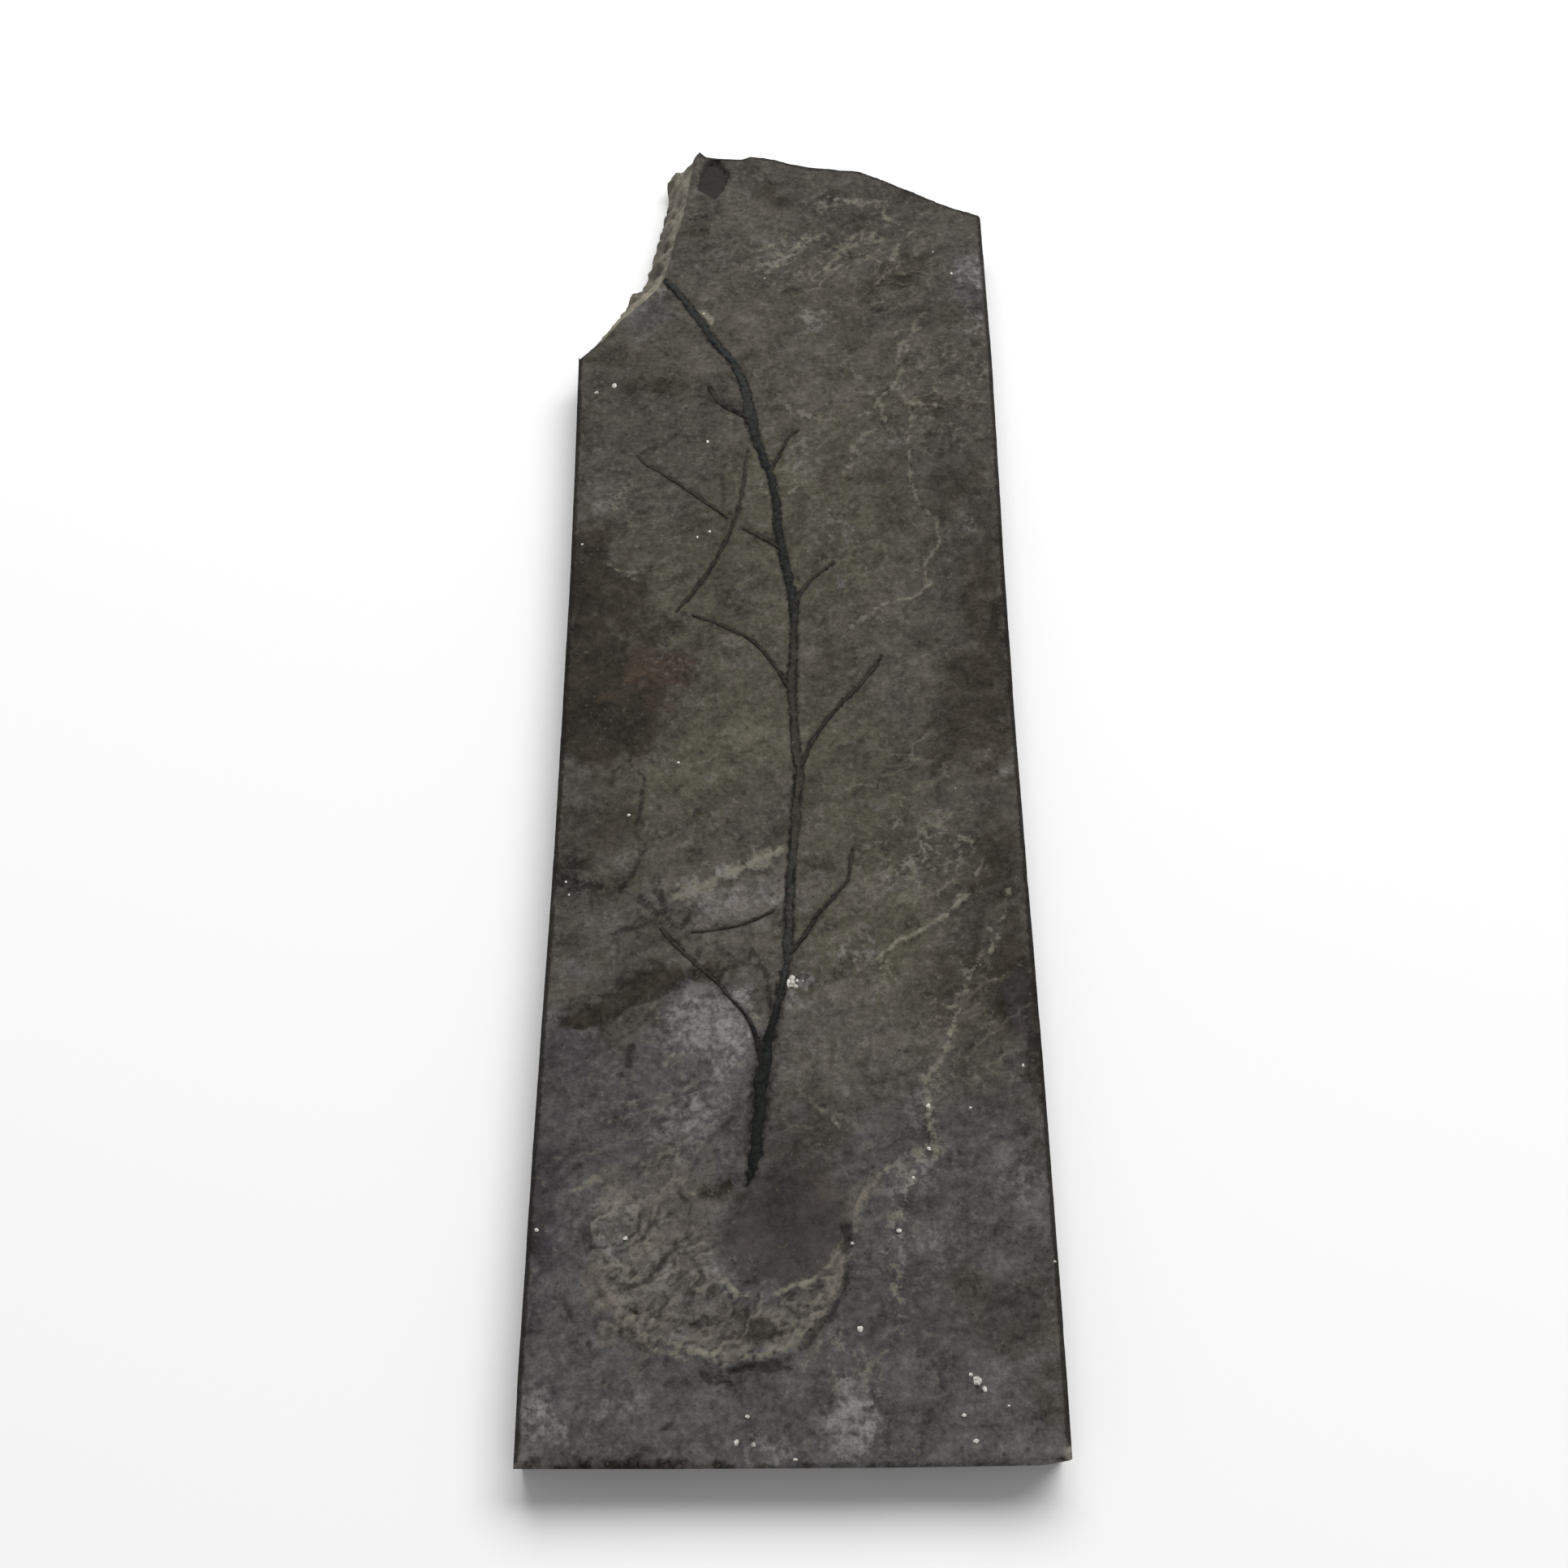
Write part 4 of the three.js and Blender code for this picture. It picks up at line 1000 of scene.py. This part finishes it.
grain = sums("ADD", speckle(1.3, 5.0), times(speckle(4.0, 4.0), 2.0))
height = times(grain, rough)
bump = add_node("ShaderNodeBump", Strength=0.65, Distance=0.0003, Height=height).outputs[0]
matt = stretch(speckle(1.1), 0.3, 0.7, 0.68, 0.92)
plug_named(shader, Base_Color=colour, Roughness=matt, Specular_IOR_Level=0.12, Normal=bump)
mesh.materials.clear()
mesh.materials.append(stone)
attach(slab, "root")
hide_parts("shale_slab")


# Plant
# The stem and its branches, pressed flat and turned to a thin film of carbon. Each is a strip a
# few tenths of a millimetre thick that follows the face, with ragged margins and worn patches.
# In mm: the film's thickness, how much its middle stands up and its margins sit in, and the step
# from one row of vertices to the next. A strip has SECTION squares across
FILM_THICK = 0.35
FILM_CROWN = 0.10
FILM_SUNK = 0.05
SECTION = 8
STEP_LENGTH = 0.5

# The share of each route's width that still has film, and how far its margins vary
STEM_SHARE = 0.78
BRANCH_SHARE = 0.68
RAGGED = 0.55

# The branches with the least film left
FAINT = ["branch_top_right", "branch_long_left", "branch_long_left_tip", "twig_across",
         "branch_middle_right"]


def smooth_route(route):
    """Points every half millimetre along a route, its corners rounded, with their widths."""
    route = np.array(route, float)
    reach = lengths_along(route[:, :2])
    marks = np.linspace(0, reach[-1], max(6, int(reach[-1] / STEP_LENGTH)))
    line = np.stack([np.interp(marks, reach, route[:, k]) for k in range(3)], axis=1)
    window = np.hanning(9)
    window = window / window.sum()
    padded = np.vstack([2 * line[0] - line[4:0:-1], line, 2 * line[-1] - line[-2:-6:-1]])
    return np.stack([np.convolve(padded[:, k], window, "valid") for k in range(3)], axis=1)


def carbon_strip(name, route, seed):
    """A strip of film laid on the face along a route."""
    line = smooth_route(route)
    count = len(line)
    is_stem = name == "main_stem"
    bpy.ops.object.select_all(action="DESELECT")
    bpy.ops.mesh.primitive_grid_add(x_subdivisions=SECTION, y_subdivisions=count - 1, size=1)
    strip = bpy.context.object
    strip.name = name + "_film"
    spots = points_of(strip.data)
    across = spots[:, 0] * 2
    row = np.clip(np.round((spots[:, 1] + 0.5) * (count - 1)).astype(int), 0, count - 1)
    tangent = np.gradient(line[:, :2], axis=0)
    tangent /= np.hypot(*tangent.T)[:, None]
    side = np.stack([tangent[:, 1], -tangent[:, 0]], axis=1)
    mark = np.arange(count) * STEP_LENGTH
    ends = ramp(mark[::-1], -0.5, 2.5)
    mean = line[:, 2] / 2 * (STEM_SHARE if is_stem else BRANCH_SHARE)
    left = mean * (1 + RAGGED * cloud(mark, mark * 0 + seed, 3.6, seed, 3)) * ends
    right = mean * (1 + RAGGED * cloud(mark, mark * 0 - seed, 3.6, seed + 1, 3)) * ends
    half = np.where(across < 0, left[row], right[row])
    px = line[row, 0] + side[row, 0] * across * half
    py = line[row, 1] + side[row, 1] * across * half
    crown = FILM_CROWN * (1 - across ** 2) - FILM_SUNK + 0.03 * cloud(px, py, 1.2, seed + 2, 2)
    pz = np.minimum(face_height(px, py) + crown, HIGHEST)
    strip.data.vertices.foreach_set("co", (np.stack([px, py, pz], axis=1) * MM).ravel())

    # The film is worn towards its tip, blackest low on the plant and browner at the stem's middle
    tip = ramp(mark[row] / mark[-1], 0.35, 1.0) * (0.25 if is_stem else 1.0)
    black = ramp(-py, 74, 98) + 0.75 * ramp(-np.abs(py - 54), -46, -30) + 0.3 * ramp(py, 100, 110)
    if name in FAINT:
        black = np.clip(black, 0.25, 0.45)
    elif not is_stem:
        black = np.maximum(black, 0.6)
    keep(strip.data, "margin", np.abs(across))
    keep(strip.data, "tip", tip)
    keep(strip.data, "black", black)
    keep(strip.data, "cool", (ramp(py, 16, 26) + ramp(-py, 44, 54)) * is_stem)
    solid = strip.modifiers.new("thickness", "SOLIDIFY")
    solid.thickness = FILM_THICK * MM
    solid.offset = -1
    bpy.ops.object.modifier_apply(modifier="thickness")
    bpy.ops.object.shade_smooth_by_angle(angle=math.radians(50))
    return strip


film, tree, shader = new_material("carbon_film")
CARBON = (0.0350, 0.0290, 0.0240, 1)
COOL_CARBON = (0.0240, 0.0272, 0.0245, 1)
EDGE_BLACK = (0.0045, 0.0060, 0.0056, 1)
WORN = (0.054, 0.0465, 0.0370, 1)
mottle = speckle(1.8, 5.0, 0.75)
colour = blend(layer("cool"), CARBON, COOL_CARBON)
colour = coat(colour, "margin", mottle, 2.6, 0.4, 1.1, EDGE_BLACK, 0.8)
ragged = sums("ADD", speckle(1.5, 5.0, 0.75), times(layer("tip"), 0.2))
thin = stretch(layer("black"), 0.0, 1.0, 0.95, 0.12)
worn = times(stretch(ragged, 0.48, 0.66), thin)
colour = coat(colour, "black", mottle, 2.4, 0.2, 1.1, EDGE_BLACK, 0.85)
colour = blend(worn, colour, WORN)
satin = stretch(speckle(0.9), 0.3, 0.7, 0.45, 0.75)
height = speckle(0.5, 4.0)
bump = add_node("ShaderNodeBump", Strength=0.5, Distance=0.0001, Height=height).outputs[0]
plug_named(shader, Base_Color=colour, Roughness=satin, Specular_IOR_Level=0.05, Normal=bump)

for number, (name, route) in enumerate({"main_stem": STEM, **BRANCHES}.items()):
    strip = carbon_strip(name, route, 110 + 3 * number)
    strip.data.materials.append(film)
    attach(strip, "root")
    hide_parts(name)


# Mineral grains
# Small white grains of calcite grown or caught on the face, the largest a cluster beside the
# stem. Each is a rounded angular lump, half sunk in the shale.
# Radius and flatness of a lump as shares of its size, and how deep it sits in mm
LUMP_RADIUS = 0.4
LUMP_FLAT = 0.4
LUMP_SUNK = 0.05
GRAINS = [
    # x,y, size
    (0.4,-85.6, 3), (2,-84.9, 1.5), (0.6,-84.2, 1.6), (1.6,-86.6, 1.5), (3.4,-85, 0.7),
    (43,-181.6, 3.2), (44.6,-183.4, 1.6), (41.6,-180.2, 1.5), (-25.4,131.6, 1.1), (-57.7,101.5, 1.7),
    (-52.3,104, 1.9), (-23.5,83.5, 1.3), (-22.5,51.5, 1.2), (-26,49.5, 1), (-59.5,47, 1.1),
    (-43,-38.5, 1.1), (-30,-23, 1.1), (1.5,-17, 1), (45.2,-31, 0.9), (58.5,-107.5, 1.1),
    (14.5,-150.5, 1.2), (16,-170, 1.9), (-40,-149, 1.3), (39.5,-189, 1.2), (42,-194.5, 1.5),
    (-10.5,-189, 1.2), (-13,-194.5, 1.8), (-9,-195, 1.3), (0.5,-198, 1.4), (-61.5,-147, 1.2),
    (53,147.5, 1), (47.5,156.5, 0.9), (-6.3,146, 0.8), (34.3,-117.5, 1.5), (63,-155, 0.9),
    (44.7,-118, 1), (50,-187, 0.8), (-59,-57.5, 0.9), (-58,-61, 0.8), (26,-147.6, 1.5),
    (30,-135, 1.2), (34,-128, 1.2),
]
bpy.ops.object.select_all(action="DESELECT")
lumps = []
chance = np.random.default_rng(7)
for gx, gy, size in GRAINS:
    ground = float(face_height(np.array([gx]), np.array([gy]))[0])
    bpy.ops.mesh.primitive_ico_sphere_add(subdivisions=2, radius=size * LUMP_RADIUS * MM)
    lump = bpy.context.object
    shape = points_of(lump.data)
    shape = shape * (1 + chance.uniform(-0.22, 0.22, (len(shape), 1)))
    shape *= (chance.uniform(0.8, 1.2), chance.uniform(0.8, 1.2), LUMP_FLAT)
    shape[:, 2] = np.minimum(shape[:, 2] + (ground - LUMP_SUNK) * MM, HIGHEST * MM)
    shape[:, :2] += np.array([gx, gy]) * MM
    lump.data.vertices.foreach_set("co", shape.ravel())
    lumps.append(lump)
for lump in lumps:
    lump.select_set(True)
bpy.context.view_layer.objects.active = lumps[0]
bpy.ops.object.join()
grains = bpy.context.object
grains.name = "calcite_grains"

calcite, tree, shader = new_material("white_calcite")
WHITE = (0.62, 0.61, 0.56, 1)
DUSTY = (0.26, 0.24, 0.20, 1)
colour = blend(stretch(speckle(0.8), 0.4, 0.65), WHITE, DUSTY)
plug_named(shader, Base_Color=colour, Roughness=0.35)
grains.data.materials.append(calcite)
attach(grains, "root")
